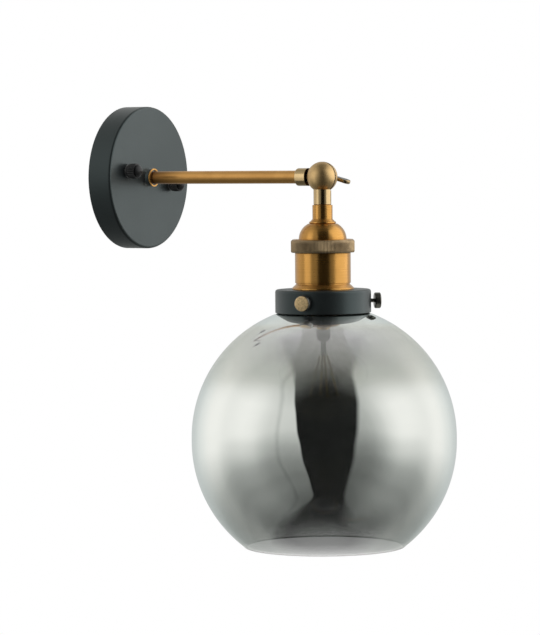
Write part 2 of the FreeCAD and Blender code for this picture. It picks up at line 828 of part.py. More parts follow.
# Ceramic insert with its contacts
insert_end = spigot_end
insert_start = insert_end - S.insert_height
insert_neck_end = insert_start + S.insert_neck_height
insert_floor = insert_start + S.insert_floor
insert_neck_radius = dome_radius - S.dome_wall - S.insert_neck_gap
shell_radius = S.shell_diameter / 2
insert = turned("holder_insert", [
    (0, insert_start),
    (insert_neck_radius, insert_start),
    (insert_neck_radius, insert_neck_end),
    (thread_radius - S.body_wall - S.turning_gap, insert_neck_end),
    (thread_radius - S.body_wall - S.turning_gap, ledge),
    (spigot_inside - S.turning_gap, ledge),
    (spigot_inside - S.turning_gap, insert_end),
    (shell_radius + S.fit_gap, insert_end),
    (shell_radius + S.fit_gap, insert_floor),
    (0, insert_floor),
])
port_spots = [(S.wire_port_pitch / 2 * sign, -S.wire_port_side) for sign in (-1, 1)]
port_depth = S.insert_screw_depth + S.insert_screw_head_thick
ports = sketch_on(insert, "XY_Plane", "insert_wire_ports", lift=insert_start + port_depth)
draw_circles(ports, [(across, up, S.wire_diameter + 2 * S.fit_gap) for across, up in port_spots])
cut_depth(insert, ports, port_depth)
insert_screw_spots = [S.insert_screw_pitch / 2 * sign for sign in (-1, 1)]
socket_end = insert_start + S.insert_screw_depth
screw_sockets = sketch_on(insert, "XY_Plane", "insert_screw_holes", lift=socket_end)
draw_circles(screw_sockets, [(spot, 0, S.insert_screw + 2 * S.fit_gap) for spot in insert_screw_spots])
cut_depth(insert, screw_sockets, S.insert_screw_depth)
finish("holder_insert", at_head(insert))

insert_screws = []
for spot in insert_screw_spots:
    insert_screw = turned("insert_screw", [
        (0, insert_start - S.insert_screw_head_thick),
        (S.insert_screw_head / 2, insert_start - S.insert_screw_head_thick),
        (S.insert_screw_head / 2, insert_start),
        (S.insert_screw / 2, insert_start),
        (S.insert_screw / 2, insert_start + S.insert_screw_depth),
        (0, insert_start + S.insert_screw_depth),
    ])
    insert_screws.append(place(insert_screw, DOWN, x=spot, y=-pivot))
group("insert_screws", insert_screws)

shell = turned("socket_shell", tube_corners(
    S.shell_diameter - 2 * S.shell_wall, S.shell_diameter, insert_floor, insert_end))
finish("socket_shell", at_head(shell))

contact = new_body("centre_contact")
contact_profile = sketch_on(contact, "XZ_Plane", "contact_profile")
contact_foot = insert_floor + S.contact_thick
contact_tip = insert_floor + S.contact_rise
draw(contact_profile, [
    (-S.contact_reach, insert_floor),
    (-S.contact_reach / 2, insert_floor),
    (0, contact_tip - S.contact_thick),
    (S.contact_reach / 2, contact_tip - S.contact_thick),
    (S.contact_reach / 2, contact_tip),
    (0, contact_tip),
    (-S.contact_reach / 2, contact_foot),
    (-S.contact_reach, contact_foot),
])
pad(contact, contact_profile, S.contact_width, symmetric=True)
finish("centre_contact", at_head(contact))

head_wire_routes = []
for side, (port_x, port_y) in zip((-1, 1), port_spots):
    inner_x = side * sheet.wire_pitch / 2
    port = Vector(port_x.number, port_y.number, insert_start.number)
    head_wire_routes.append([
        Vector(inner_x, 0, sweep_radius.number),
        Vector(inner_x, 0, roof.number),
        Vector(port.x, port.y, insert_start.number - 2 * sheet.wire_bend),
        Vector(port.x, port.y, insert_start.number + sheet.insert_screw_depth),
    ])
at_head(wires("head_wires", head_wire_routes))

# Gallery, its clamp ring and the thumb screws: each stands round the one inside it
gallery_hole = spigot_radius + S.turning_gap
shade_ring_radius = gallery_hole + S.shade_ring_width
globe_neck = shade_ring_radius + S.globe_neck_room + S.globe_wall
globe_lip = globe_neck + S.globe_lip_stand
gallery_inside = globe_lip + S.gallery_room
gallery_radius = gallery_inside + S.gallery_wall
gallery_floor = flare_end + S.gallery_wall
gallery = turned("gallery", [
    (gallery_hole, flare_end),
    (gallery_radius - S.gallery_edge, flare_end, S.gallery_edge),
    (gallery_radius, flare_end + S.gallery_edge),
    (gallery_radius, gallery_end),
    (gallery_inside, gallery_end),
    (gallery_inside, flare_end + S.gallery_edge, -(S.gallery_edge - S.gallery_wall)),
    (gallery_radius - S.gallery_edge, gallery_floor),
    (gallery_hole, gallery_floor),
])
screw_hole = sketch_on(gallery, "YZ_Plane", "gallery_screw_hole", lift=gallery_radius)
draw_circles(screw_hole, [(0, screw_drop, S.screw_diameter + 2 * S.fit_gap)])
repeat_round(gallery, cut_depth(gallery, screw_hole, 2 * S.gallery_wall), as_size(THUMB_SCREWS))
gallery_turn = Rotation(Vector(0, 0, 1), sheet.screw_angle).multiply(DOWN)
finish("gallery", at_head(gallery, gallery_turn))

shade_ring = turned("shade_ring", tube_corners(
    2 * gallery_hole, 2 * shade_ring_radius, gallery_floor, gallery_floor + S.shade_ring_thick))
finish("shade_ring", at_head(shade_ring))

screw_start = globe_neck + S.turning_gap
head_start = gallery_radius + S.screw_stand
shank = head_start - screw_start
head_radius = S.screw_head / 2
head_top = shank + S.screw_head_thick
edge_radius = S.screw_head_edge
crown_span = head_radius - edge_radius
crown_bend = (crown_span * crown_span + S.screw_head_crown * S.screw_head_crown) / (2 * S.screw_head_crown)
for number in range(THUMB_SCREWS):
    bearing = S.screw_angle + 360 / THUMB_SCREWS * number
    thumb_screw = turned(f"thumb_screw_{number + 1}", [
        (0, 0),
        (S.screw_diameter / 2, 0),
        (S.screw_diameter / 2, shank),
        (head_radius - edge_radius, shank, edge_radius),
        (head_radius, shank + edge_radius),
        (head_radius, head_top - edge_radius, edge_radius),
        (head_radius - edge_radius, head_top, crown_bend),
        (0, head_top + S.screw_head_crown),
    ])
    outward = Vector(cosine(bearing).number, sine(bearing).number, 0)
    place(thumb_screw, Rotation(Vector(0, 0, 1), outward),
          x=screw_start * cosine(bearing), y=screw_start * sine(bearing) - pivot, z=-screw_drop)
    finish(f"thumb_screw_{number + 1}", thumb_screw)

# Globe
globe = S.globe_radius
inner_globe = globe - S.globe_wall
shoulder = S.globe_shoulder
upper_centre = gallery_end + S.globe_seat + root(globe * globe - gallery_inside * gallery_inside)
lower_centre = upper_centre + S.globe_belt
rim = lower_centre + S.globe_cut
neck_bend = globe_neck + shoulder
shoulder_reach = root((globe + shoulder) * (globe + shoulder) - neck_bend * neck_bend)
shoulder_level = upper_centre - shoulder_reach
outer_share = globe / (globe + shoulder)
inner_share = inner_globe / (globe + shoulder)
lip_top = gallery_floor + S.globe_lip_drop
lip_bottom = lip_top + S.globe_lip_thick
glass_globe = turned("glass_globe", [
    (globe_neck - S.globe_wall, lip_top),
    (globe_lip, lip_top),
    (globe_lip, lip_bottom),
    (globe_neck, lip_bottom),
    (globe_neck, shoulder_level, -shoulder),
    (neck_bend * outer_share, upper_centre - shoulder_reach * outer_share, globe),
    (globe, upper_centre),
    (globe, lower_centre, globe),
    (root(globe * globe - S.globe_cut * S.globe_cut), rim),
    (root(inner_globe * inner_globe - S.globe_cut * S.globe_cut), rim, -inner_globe),
    (inner_globe, lower_centre),
    (inner_globe, upper_centre, -inner_globe),
    (neck_bend * inner_share, upper_centre - shoulder_reach * inner_share,
     shoulder + S.globe_wall),
    (globe_neck - S.globe_wall, shoulder_level),
])
finish("glass_globe", at_head(glass_globe))

# Bulb
tip_start = contact_tip + S.turning_gap
tip_end = tip_start + S.bulb_tip_thick
insulator_end = tip_end + S.bulb_insulator_thick
cap_end = tip_start + S.bulb_cap_length
cap_radius = S.bulb_cap_diameter / 2
bulb_tip = turned("bulb_tip", [
    (0, tip_start), (S.bulb_tip_diameter / 2, tip_start), (S.bulb_tip_diameter / 2, tip_end), (0, tip_end)])
finish("bulb_tip", at_head(bulb_tip))
bulb_insulator = turned("bulb_insulator", [
    (0, tip_end), (S.bulb_tip_diameter / 2, tip_end), (S.bulb_insulator_diameter / 2, insulator_end),
    (0, insulator_end)])
finish("bulb_insulator", at_head(bulb_insulator))
cap_shoulder = insulator_end + cap_radius - S.bulb_insulator_diameter / 2
bulb_cap = turned("bulb_cap", [
    (0, insulator_end),
    (S.bulb_insulator_diameter / 2, insulator_end),
    (cap_radius, cap_shoulder),
    (cap_radius, cap_end),
    (cap_radius - S.bulb_cap_wall, cap_end),
    (cap_radius - S.bulb_cap_wall, cap_shoulder),
    (S.bulb_insulator_diameter / 2 - S.bulb_cap_wall, insulator_end + S.bulb_cap_wall),
    (0, insulator_end + S.bulb_cap_wall),
])
finish("bulb_cap", at_head(bulb_cap))
bulb = S.bulb_diameter / 2
bulb_neck = S.bulb_neck / 2
bulb_sweep = S.bulb_sweep
bulb_centre = tip_start + S.bulb_length - bulb
bulb_inner = bulb - S.bulb_wall
bulb_bend = bulb_neck + bulb_sweep
sweep_reach = root((bulb + bulb_sweep) * (bulb + bulb_sweep) - bulb_bend * bulb_bend)
sweep_start = bulb_centre - sweep_reach
bulb_share = bulb / (bulb + bulb_sweep)
bulb_inner_share = bulb_inner / (bulb + bulb_sweep)
root_start = cap_end - S.bulb_root_length
bulb_root = S.bulb_root / 2
bulb_glass = turned("bulb_glass", [
    (bulb_root - S.bulb_wall, root_start),
    (bulb_root, root_start),
    (bulb_root, cap_end),
    (bulb_neck, cap_end + S.bulb_cone),
    (bulb_neck, sweep_start, -bulb_sweep),
    (bulb_bend * bulb_share, bulb_centre - sweep_reach * bulb_share, bulb),
    (bulb, bulb_centre, bulb),
    (0, bulb_centre + bulb),
    (0, bulb_centre + bulb_inner, -bulb_inner),
    (bulb_inner, bulb_centre, -bulb_inner),
    (bulb_bend * bulb_inner_share, bulb_centre - sweep_reach * bulb_inner_share,
     bulb_sweep + S.bulb_wall),
    (bulb_neck - S.bulb_wall, sweep_start),
    (bulb_neck - S.bulb_wall, cap_end + S.bulb_cone),
    (bulb_root - S.bulb_wall, cap_end),
])
finish("bulb_glass", at_head(bulb_glass))
stem_radius = S.stem_diameter / 2
stem_start = root_start
stem_end = stem_start + S.stem_length
stem_tip = stem_end + S.stem_tip_length
stem_flange = bulb_root - S.bulb_wall - S.fit_gap
bulb_stem = turned("bulb_stem", [
    (0, stem_start),
    (stem_flange, stem_start),
    (stem_flange, stem_start + S.bulb_wall),
    (stem_radius, stem_start + stem_flange - stem_radius),
    (stem_radius, stem_end - stem_radius, stem_radius),
    (S.stem_tip_diameter / 2, stem_end - stem_radius
     + root(stem_radius * stem_radius - S.stem_tip_diameter * S.stem_tip_diameter / 4)),
    (S.stem_tip_diameter / 2, stem_tip),
    (0, stem_tip),
])
finish("bulb_stem", at_head(bulb_stem))

# Filaments fan out from the stem's tip
filament_spread = (S.filament_foot_circle - S.filament_top_circle) / 2
filament_lean = math.degrees(math.asin(filament_spread.number / sheet.filament_length))
filaments = []
for number in range(FILAMENTS):
    bearing = 360 / FILAMENTS * (number + 0.5)
    lean = Rotation(Vector(0, 0, 1), bearing).multiply(Rotation(Vector(0, 1, 0), 180 - filament_lean))
    reach = S.filament_top_circle / 2
    filaments.append(rod("filament", S.filament_diameter, ZERO, S.filament_length, lean,
                         x=reach * math.cos(math.radians(bearing)),
                         y=reach * math.sin(math.radians(bearing)) - pivot, z=-stem_tip))
group("bulb_filaments", filaments)

doc.recompute()
for item in doc.Objects:
    if "Invalid" in item.State or "Error" in item.State:
        raise RuntimeError(f"{item.Label} did not build: {item.State}")
for label, piece in pieces.items():
    shape = piece.Shape
    if shape.isNull() or not shape.isValid() or not shape.Solids:
        raise RuntimeError(f"{label} has no valid solid")
    shape.exportStep(f"parts/{label}.step")
print(f"{len(pieces)} pieces")
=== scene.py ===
"""Looks of a wall lamp: black canopy, copper arm, ball knuckle, brass holder and half-mirrored globe.

Every piece is built in metres in the frame of the solids. Wall pieces are turned about axes that leave
the wall, and head pieces about the axis that hangs from the knuckle's pivot.
"""

import json
import math
from types import SimpleNamespace

import bmesh
import bpy
from bpy.props import FloatProperty, FloatVectorProperty, IntProperty, PointerProperty
from mathutils import Matrix, Vector

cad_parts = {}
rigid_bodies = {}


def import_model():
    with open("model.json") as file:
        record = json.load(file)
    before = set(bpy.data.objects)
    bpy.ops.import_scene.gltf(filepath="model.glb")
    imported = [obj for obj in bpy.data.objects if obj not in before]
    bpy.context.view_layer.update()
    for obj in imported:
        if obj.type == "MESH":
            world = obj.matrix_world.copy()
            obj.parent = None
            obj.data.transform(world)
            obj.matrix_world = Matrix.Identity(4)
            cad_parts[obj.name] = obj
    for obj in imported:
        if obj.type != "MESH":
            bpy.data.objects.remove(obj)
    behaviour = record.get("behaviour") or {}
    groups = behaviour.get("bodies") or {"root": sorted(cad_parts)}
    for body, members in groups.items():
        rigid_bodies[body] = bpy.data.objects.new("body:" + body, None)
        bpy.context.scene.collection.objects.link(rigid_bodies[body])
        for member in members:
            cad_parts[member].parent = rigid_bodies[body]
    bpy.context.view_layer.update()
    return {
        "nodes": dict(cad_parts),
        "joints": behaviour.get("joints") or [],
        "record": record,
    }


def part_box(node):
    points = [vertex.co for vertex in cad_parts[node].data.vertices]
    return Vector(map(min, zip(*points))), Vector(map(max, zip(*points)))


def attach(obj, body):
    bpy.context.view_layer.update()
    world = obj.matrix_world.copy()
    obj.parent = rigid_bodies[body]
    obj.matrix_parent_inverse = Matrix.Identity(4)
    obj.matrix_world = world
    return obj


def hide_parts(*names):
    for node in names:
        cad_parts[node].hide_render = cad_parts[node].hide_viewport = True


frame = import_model()

bl_info = {
    "name": "Wall lamp",
    "version": (1, 0, 0),
    "blender": (4, 5, 0),
    "location": "View3D > Sidebar > Wall Lamp",
    "description": "Builds the visible pieces, finishes and studio of a wall lamp with a globe shade",
    "category": "Add Mesh",
}

MM = 0.001
JOINTS = {joint["name"]: joint for joint in frame["joints"]}
SLOTS = {part["node"]: part["material_slot"] for part in frame["record"]["subparts"]}
BODIES = {node: body for body, nodes in frame["record"]["behaviour"]["bodies"].items() for node in nodes}
PIVOT = Vector(JOINTS["head_tilt"]["pos_m"])

# Places for pieces turned about their own Z: down from the pivot, out of the wall, and along X
HEAD = Matrix(((1, 0, 0, 0), (0, -1, 0, PIVOT.y), (0, 0, -1, PIVOT.z), (0, 0, 0, 1)))
WALL = Matrix(((1, 0, 0, 0), (0, 0, -1, 0), (0, 1, 0, 0), (0, 0, 0, 1)))
ACROSS = Matrix(((0, 0, 1, 0), (1, 0, 0, 0), (0, 1, 0, 0), (0, 0, 0, 1)))

# Places of the two half balls: a dome along its own Z and a stub along its own X, to the wall or down
ARM_HALF = Matrix.Translation(PIVOT) @ ACROSS
HEAD_TURN = Matrix(((0, 0, -1, 0), (0, -1, 0, 0), (-1, 0, 0, 0), (0, 0, 0, 1)))
HEAD_HALF = Matrix.Translation(PIVOT) @ HEAD_TURN

# Millimetres: room between fitted pieces, and the distance at which two points count as one
FIT = 0.1
NEAR = 1e-4


def head_levels(node):
    """First and last level of a head piece, in millimetres down from the pivot."""
    low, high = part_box(node)
    return (PIVOT.z - high.z) / MM, (PIVOT.z - low.z) / MM


def wall_levels(node):
    """First and last level of a wall piece, in millimetres out of the wall."""
    low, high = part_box(node)
    return -high.y / MM, -low.y / MM


def half_width(node):
    """Half of a piece's width along X, in millimetres."""
    low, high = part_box(node)
    return (high.x - low.x) / 2 / MM


# Sizes, colours and stage settings

def length_property(name, description, default, low, high):
    """A length, given in millimetres."""
    return FloatProperty(name=name, description=description, default=default * MM, min=low * MM,
                         max=high * MM, unit="LENGTH")


def angle_property(name, description, degrees):
    """An angle, given in degrees."""
    return FloatProperty(name=name, description=description, default=math.radians(degrees),
                         subtype="ANGLE")


def power_property(name, description, watts):
    """The power of a lamp."""
    return FloatProperty(name=name, description=description, default=watts, min=0, unit="POWER")


def count_property(name, description, default, low, high):
    """A number of like features."""
    return IntProperty(name=name, description=description, default=default, min=low, max=high)


def colour_property(name, description, default):
    """A colour as linear red, green and blue."""
    return FloatVectorProperty(name=name, description=description, default=default, size=3,
                               min=0, max=1, subtype="COLOR")


class LampSizes(bpy.types.PropertyGroup):
    """Sizes of the visible detail, in the scene's units."""

    edge_round: length_property("Edge round", "Radius of the small rounded edges", 0.35, 0.05, 1)
    canopy_edge: length_property("Canopy edge", "Radius between the canopy's side and face", 2.2, 0.5, 8)
    sheet_wall: length_property("Sheet wall", "Thickness of the canopy's sheet metal", 1.2, 0.5, 3)
    # Painted reflection: length over which the canopy's dark reflection is painted onto the arm's end.
    canopy_reflection_reach: length_property("Smoked root", "Length of the arm's darkened end", 30, 5, 120)
    seam_gap: length_property("Knuckle seam", "Gap between the knuckle's two halves", 0.6, 0, 2)
    stub_radius: length_property("Stub radius", "Radius of the knuckle's two stubs", 6.7, 4, 12)
    stub_reach: length_property("Stub reach", "Length of a stub from the pivot", 21, 15, 40)
    turning_room: length_property(
        "Turning room", "Gap that lets one knuckle half turn past the other", 2.4, 0.2, 4)
    wing_span: length_property("Wing span", "Width of the clamping screw's wing", 29, 10, 50)
    wing_lobe: length_property("Wing lobe", "Radius of the wing's rounded ends", 4.2, 1, 8)
    wing_thick: length_property("Wing thickness", "Thickness of the wing", 2.8, 1, 6)
    wing_angle: angle_property("Wing angle", "Turn of the wing about its screw", 198)
    nut_teeth: count_property("Nut teeth", "Knurled teeth round a canopy nut", 26, 8, 80)
    ring_teeth: count_property("Ring teeth", "Knurled teeth round the holder's ring", 144, 20, 200)
    tooth_depth: length_property("Tooth depth", "Depth of the knurling", 0.45, 0, 1.5)
    body_radius: length_property(
        "Holder body radius", "Radius of the lamp holder's straight body", 21, 15, 30)
    flare_height: length_property("Flare height", "Height of the holder's flared foot", 4.8, 1, 12)
    dome_radius: length_property("Dome radius", "Radius of the holder cap's dome at its foot", 18, 10, 25)
    dome_height: length_property("Dome height", "Height of the holder cap's dome", 11.7, 4, 25)
    gallery_wall: length_property("Gallery wall", "Thickness of the gallery's sheet metal", 1.5, 0.5, 4)
    gallery_edge: length_property("Gallery edge", "Radius of the gallery's top edge", 2.1, 0.5, 6)
    screw_head_round: length_property(
        "Thumb screw round", "Edge radius of a thumb screw's head", 0.9, 0.2, 2.2)
    globe_wall: length_property("Globe wall", "Thickness of the globe's glass", 2.4, 1, 5)


class LampFinishes(bpy.types.PropertyGroup):
    """Colours of the finishes."""

    paint: colour_property("Black paint", "Satin paint of the canopy and gallery", (0.017, 0.0195, 0.0202))
    copper: colour_property("Brushed copper", "Brushed arm", (0.74, 0.40, 0.125))
    copper_dark: colour_property("Copper tarnish", "Darkened streaks on the arm", (0.44, 0.21, 0.056))
    # Painted reflection: colour of the canopy's dark reflection, painted onto the arm's end.
    copper_painted_reflection: colour_property("Copper root", "Smoked end of the arm at the canopy", (0.13, 0.056, 0.015))
    antique: colour_property("Antique brass", "Stubs of the knuckle", (0.51, 0.37, 0.19))
    antique_dark: colour_property("Antique tarnish", "Darkened patches on the stubs", (0.36, 0.255, 0.125))
    ball: colour_property("Satin brass", "Ball of the knuckle", (0.59, 0.405, 0.19))
    ball_dark: colour_property("Satin tarnish", "Darkened patches on the ball", (0.42, 0.285, 0.13))
    brass: colour_property("Brushed brass", "Cap and body of the lamp holder", (0.57, 0.30, 0.078))
    brass_dark: colour_property("Brass tarnish", "Darkened lines on the lamp holder", (0.40, 0.20, 0.05))
    bronze: colour_property("Dark bronze", "Knurled ring of the lamp holder", (0.36, 0.26, 0.15))
    bronze_dark: colour_property("Bronze tarnish", "Dark patches of the knurled ring", (0.15, 0.115, 0.07))
    screw_face: colour_property("Screw faces", "Scuffed faces of the thumb screws", (0.86, 0.62, 0.33))
    screw_side: colour_property("Screw sides", "Blackened sides of the thumb screws", (0.15, 0.145, 0.13))
    coat: colour_property("Mirror coat", "Metal coat on the globe", (0.895, 0.915, 0.875))
    coat_edge: colour_property("Mirror coat aslant", "Coat where it is seen aslant", (0.775, 0.885, 0.89))
    coat_thin: colour_property("Mirror coat, thin", "Coat where it thins out", (0.855, 0.885, 0.785))
    rim: colour_property("Globe rim", "Ground outer edge of the globe's mouth", (0.68, 0.66, 0.61))
    glass_edge: colour_property("Glass edge", "Inside of the globe", (0.12, 0.13, 0.128))
    bulb: colour_property("Bulb glass", "Lightly amber glass of the bulb", (0.84, 0.66, 0.35))
    stem: colour_property("Bulb stem", "Pressed glass that carries the filaments", (0.20, 0.225, 0.23))
    filament: colour_property("Filaments", "Coat of the bulb's filaments", (0.66, 0.5, 0.2))
    bulb_metal: colour_property("Bulb cap", "Threaded cap of the bulb", (0.66, 0.65, 0.62))
    bulb_metal_dark: colour_property("Bulb cap tarnish", "Dull lines on the bulb's cap", (0.4, 0.39, 0.36))
    insulator: colour_property("Bulb insulator", "Black glass round the bulb's tip", (0.012, 0.012, 0.014))
    contact: colour_property("Contacts", "Brass of the contacts and terminals", (0.70, 0.52, 0.22))
    contact_dark: colour_property("Contact tarnish", "Dark patches of the contacts", (0.36, 0.24, 0.09))
    zinc: colour_property("Zinc", "Plated steel of the bracket and nuts", (0.60, 0.61, 0.62))
    zinc_dark: colour_property("Zinc spangle", "Dull patches of the plating", (0.36, 0.37, 0.37))
    fibre: colour_property("Fibre", "Friction washer of the knuckle", (0.03, 0.026, 0.022))
    ceramic: colour_property("Ceramic", "Insert of the lamp holder", (0.78, 0.76, 0.71))
    plastic: colour_property("Terminal plastic", "Mains terminal block", (0.74, 0.74, 0.70))
    wire: colour_property("Wire insulation", "Sleeves of the wires", (0.014, 0.014, 0.015))


class LampStage(bpy.types.PropertyGroup):
    """Camera, lamps and floor."""

    azimuth: angle_property("Camera azimuth", "Camera's turn round the lamp", -58.514)
    elevation: angle_property("Camera elevation", "Camera's height above the level", 2.993)
    roll: angle_property("Camera roll", "Camera's tilt about its line of sight", -0.479)
    distance: FloatProperty(
        name="Camera distance", description="Distance from camera to target", default=2.4, min=0.5,
        unit="LENGTH")
    lens: FloatProperty(
        name="Lens", description="Focal length for a 36 mm long side", default=176.82, min=20,
        subtype="DISTANCE_CAMERA")
    target: FloatVectorProperty(
        name="Target", description="Point at the middle of the picture",
        default=(0.02222, -0.11484, -0.10809), size=3, subtype="TRANSLATION")
    key_power: power_property("Right softbox", "Power of the softbox on the camera's right", 10)
    fill_power: power_property("Left softbox", "Power of the softbox on the camera's left", 2.5)
    strip_power: power_property("Left strip", "Power of the narrow strip that lights the brass", 2.4)
    floor_level: FloatProperty(
        name="Floor level", description="Height of the pale floor", default=-0.72, unit="LENGTH")
    floor_colour: colour_property("Floor", "Plain pale floor", (0.6, 0.6, 0.59))


def sizes():
    """The sizes by name, with lengths in millimetres."""
    group = bpy.context.scene.lamp_sizes
    kept = {}
    for name in LampSizes.__annotations__:
        value = getattr(group, name)
        kept[name] = value if isinstance(value, int) or name.endswith("_angle") else value / MM
    return SimpleNamespace(**kept)


# Outlines and turned meshes

def arc(start, end, bend, steps=8):
    """Points after start and up to end on an arc that turns left for a positive bend, else right."""
    (r0, z0), (r1, z1) = start, end
    half_r, half_z = (r1 - r0) / 2, (z1 - z0) / 2
    half = math.hypot(half_r, half_z)
    rise = math.copysign(math.sqrt(max(bend * bend - half * half, 0)), bend)
    centre_r, centre_z = r0 + half_r - half_z / half * rise, z0 + half_z + half_r / half * rise
    first = math.atan2(z0 - centre_z, r0 - centre_r)
    last = math.atan2(z1 - centre_z, r1 - centre_r)
    if bend > 0 and last < first:
        last += 2 * math.pi
    if bend < 0 and last > first:
        last -= 2 * math.pi
    angles = [first + (last - first) * step / steps for step in range(1, steps + 1)]
    return [(centre_r + abs(bend) * math.cos(a), centre_z + abs(bend) * math.sin(a)) for a in angles]


def swept(start, end, bend, steps=8):
    """An arc with its first point."""
    return [start] + arc(start, end, bend, steps)


def rounded(corners, steps=4):
    """A closed outline of (radius, along[, round]) corners with each round replaced by short sides."""
    side_share = 0.49
    points = []
    for index, corner in enumerate(corners):
        here = Vector(corner[:2])
        bend = corner[2] if len(corner) > 2 else 0
        before = Vector(corners[index - 1][:2]) - here
        after = Vector(corners[(index + 1) % len(corners)][:2]) - here
        if not bend or before.length < NEAR or after.length < NEAR:
            points.append(tuple(here))
            continue
        turn = before.angle(after)
        reach = min(bend / math.tan(turn / 2), before.length * side_share, after.length * side_share)
        first, last = here + before.normalized() * reach, here + after.normalized() * reach
        for step in range(steps + 1):
            share = step / steps
            rest = 1 - share
            points.append(tuple(first * rest ** 2 + here * 2 * share * rest + last * share ** 2))
    return points


def lathe(outline, place, segments=96, form=None, finish_of=None):
    """Mesh turned from a closed outline of (radius, along) points in millimetres, set in place by a matrix.

    form(angle, radius, along) may move a point to another (radius, along), and finish_of(side) gives a
    side's material index.
    """
    mesh = bmesh.new()
    rings = []
    for radius, along in outline:
        if radius < NEAR:
            rings.append([mesh.verts.new(place @ Vector((0, 0, along * MM)))])
            continue
        ring = []
        for step in range(segments):
            angle = 2 * math.pi * step / segments
            reach, level = form(angle, radius, along) if form else (radius, along)
            ring.append(mesh.verts.new(place @ Vector(
                (reach * math.cos(angle) * MM, reach * math.sin(angle) * MM, level * MM))))
        rings.append(ring)
    for side, first in enumerate(rings):
        second = rings[(side + 1) % len(rings)]
        if len(first) == 1 and len(second) == 1:
            continue
        for step in range(segments):
            after = (step + 1) % segments
            corners = [first[step % len(first)], first[after % len(first)],
                       second[after % len(second)], second[step % len(second)]]
            face = mesh.faces.new(dict.fromkeys(corners))
            face.smooth = True
            face.material_index = finish_of(side) if finish_of else 0
    bmesh.ops.recalc_face_normals(mesh, faces=mesh.faces)
    return mesh


def knurl(teeth, depth, start, end, outer):
    """Reshapes the outside between two levels into rounded lengthwise teeth."""
    skin, fullness = 2.5 * depth, 0.7

    def form(angle, radius, along):
        if radius < outer - skin or not start - NEAR <= along <= end + NEAR:
            return radius, along
        wave = 0.5 - 0.5 * math.cos(angle * teeth)
        return radius - depth * wave ** fullness, along

    return form


def together(first, *others):
    """One mesh out of several that touch."""
    for other in others:
        data = bpy.data.meshes.new("part of a piece")
        other.to_mesh(data)
        other.free()
        first.from_mesh(data)
        bpy.data.meshes.remove(data)
    return first


def add_piece(name, mesh, stands_for, finishes, sharp=32):
    """Turn a mesh into an object that stands for a node and rides as the node does."""
    data = bpy.data.meshes.new(name)
    mesh.to_mesh(data)
    mesh.free()
    data.set_sharp_from_angle(angle=math.radians(sharp))
    piece = bpy.data.objects.new(name, data)
    bpy.context.scene.collection.objects.link(piece)
    for finish in finishes:
        data.materials.append(finish_for(finish))
    even = piece.modifiers.new("Even shading", "WEIGHTED_NORMAL")
    even.keep_sharp = True
    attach(piece, BODIES[stands_for])
    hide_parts(stands_for)
    return piece


def dress(*nodes, finish=None):
    """Give nodes whose own shape stays the finish of their slot, or another one."""
    for node in nodes:
        piece = frame["nodes"][node]
        material = finish_for(finish or SLOTS[node])
        if not piece.material_slots:
            piece.data.materials.append(material)
        for slot in piece.material_slots:
            slot.material = material


# Finishes

class Sheet:
    """A node tree with short ways to add and wire nodes."""

    def __init__(self, tree):
        self.tree = tree

    def add(self, kind, inputs=None, **settings):
        """A new node with its settings made and its inputs set or wired."""
        node = self.tree.nodes.new(kind)
        for name, value in settings.items():
            setattr(node, name, value)
        for name, value in (inputs or {}).items():
            self.feed(node.inputs[name], value)
        return node

    def feed(self, socket, value):
        """Wire another node's output to a socket, or set a plain value on it."""
        if isinstance(value, bpy.types.NodeSocket):
            self.tree.links.new(value, socket)
        else:
            socket.default_value = value

    def maths(self, operation, first, second=0.0):
        """One step of arithmetic."""
        return self.add("ShaderNodeMath", {0: first, 1: second}, operation=operation).outputs[0]

    def product(self, first, *others):
        """All values multiplied."""
        for other in others:
            first = self.maths("MULTIPLY", first, other)
        return first

    def distance(self, first, second):
        """How far two values lie apart."""
        return self.maths("ABSOLUTE", self.maths("SUBTRACT", first, second))

    def spread(self, value, low, high, to_low=0.0, to_high=1.0):
        """Value mapped from one span to another, held at both ends."""
        node = self.add("ShaderNodeMapRange", {
            "Value": value, "From Min": low, "From Max": high, "To Min": to_low, "To Max": to_high})
        return node.outputs["Result"]

    def graded(self, value, stops):
        """Value read off a smooth curve through (position, level) stops."""
        low, high = stops[0][0], stops[-1][0]
        levels = [level for position, level in stops]
        least, most = min(levels), max(levels)
        ramp = self.add("ShaderNodeValToRGB", {"Fac": self.spread(value, low, high)})
        ramp.color_ramp.interpolation = "CARDINAL"
        while len(ramp.color_ramp.elements) < len(stops):
            ramp.color_ramp.elements.new(0.5)
        for element, (position, level) in zip(ramp.color_ramp.elements, stops):
            element.position = (position - low) / (high - low)
            element.color = (*3 * ((level - least) / (most - least),), 1)
        return self.spread(ramp.outputs["Color"], 0.0, 1.0, least, most)

    def between(self, share, first, second):
        """A value between two others."""
        return self.add("ShaderNodeMix", {0: share, 2: first, 3: second}, data_type="FLOAT").outputs[0]

    def mix(self, share, first, second):
        """A colour between two others."""
        return self.add("ShaderNodeMix", {0: share, 6: first, 7: second}, data_type="RGBA").outputs[2]

    def along(self, vector, direction):
        """A vector's part along a direction."""
        node = self.add("ShaderNodeVectorMath", {0: vector, 1: direction}, operation="DOT_PRODUCT")
        return node.outputs["Value"]

    def place(self, group, **inputs):
        """A shared group with its own values."""
        return self.add("ShaderNodeGroup", inputs, node_tree=group).outputs


def new_group(name, inputs, outputs):
    """A node group with named sockets: its sheet, its inputs and a function that wires its outputs."""
    tree = bpy.data.node_groups.new(name, "ShaderNodeTree")
    for socket, (kind, default) in inputs.items():
        made = tree.interface.new_socket(socket, in_out="INPUT", socket_type="NodeSocket" + kind)
        made.default_value = default
    for socket, kind in outputs.items():
        tree.interface.new_socket(socket, in_out="OUTPUT", socket_type="NodeSocket" + kind)
    sheet = Sheet(tree)
    entry = sheet.add("NodeGroupInput").outputs
    leave = sheet.add("NodeGroupOutput")

    def give(**values):
        for socket, value in values.items():
            sheet.feed(leave.inputs[socket], value)
        return tree

    return sheet, entry, give


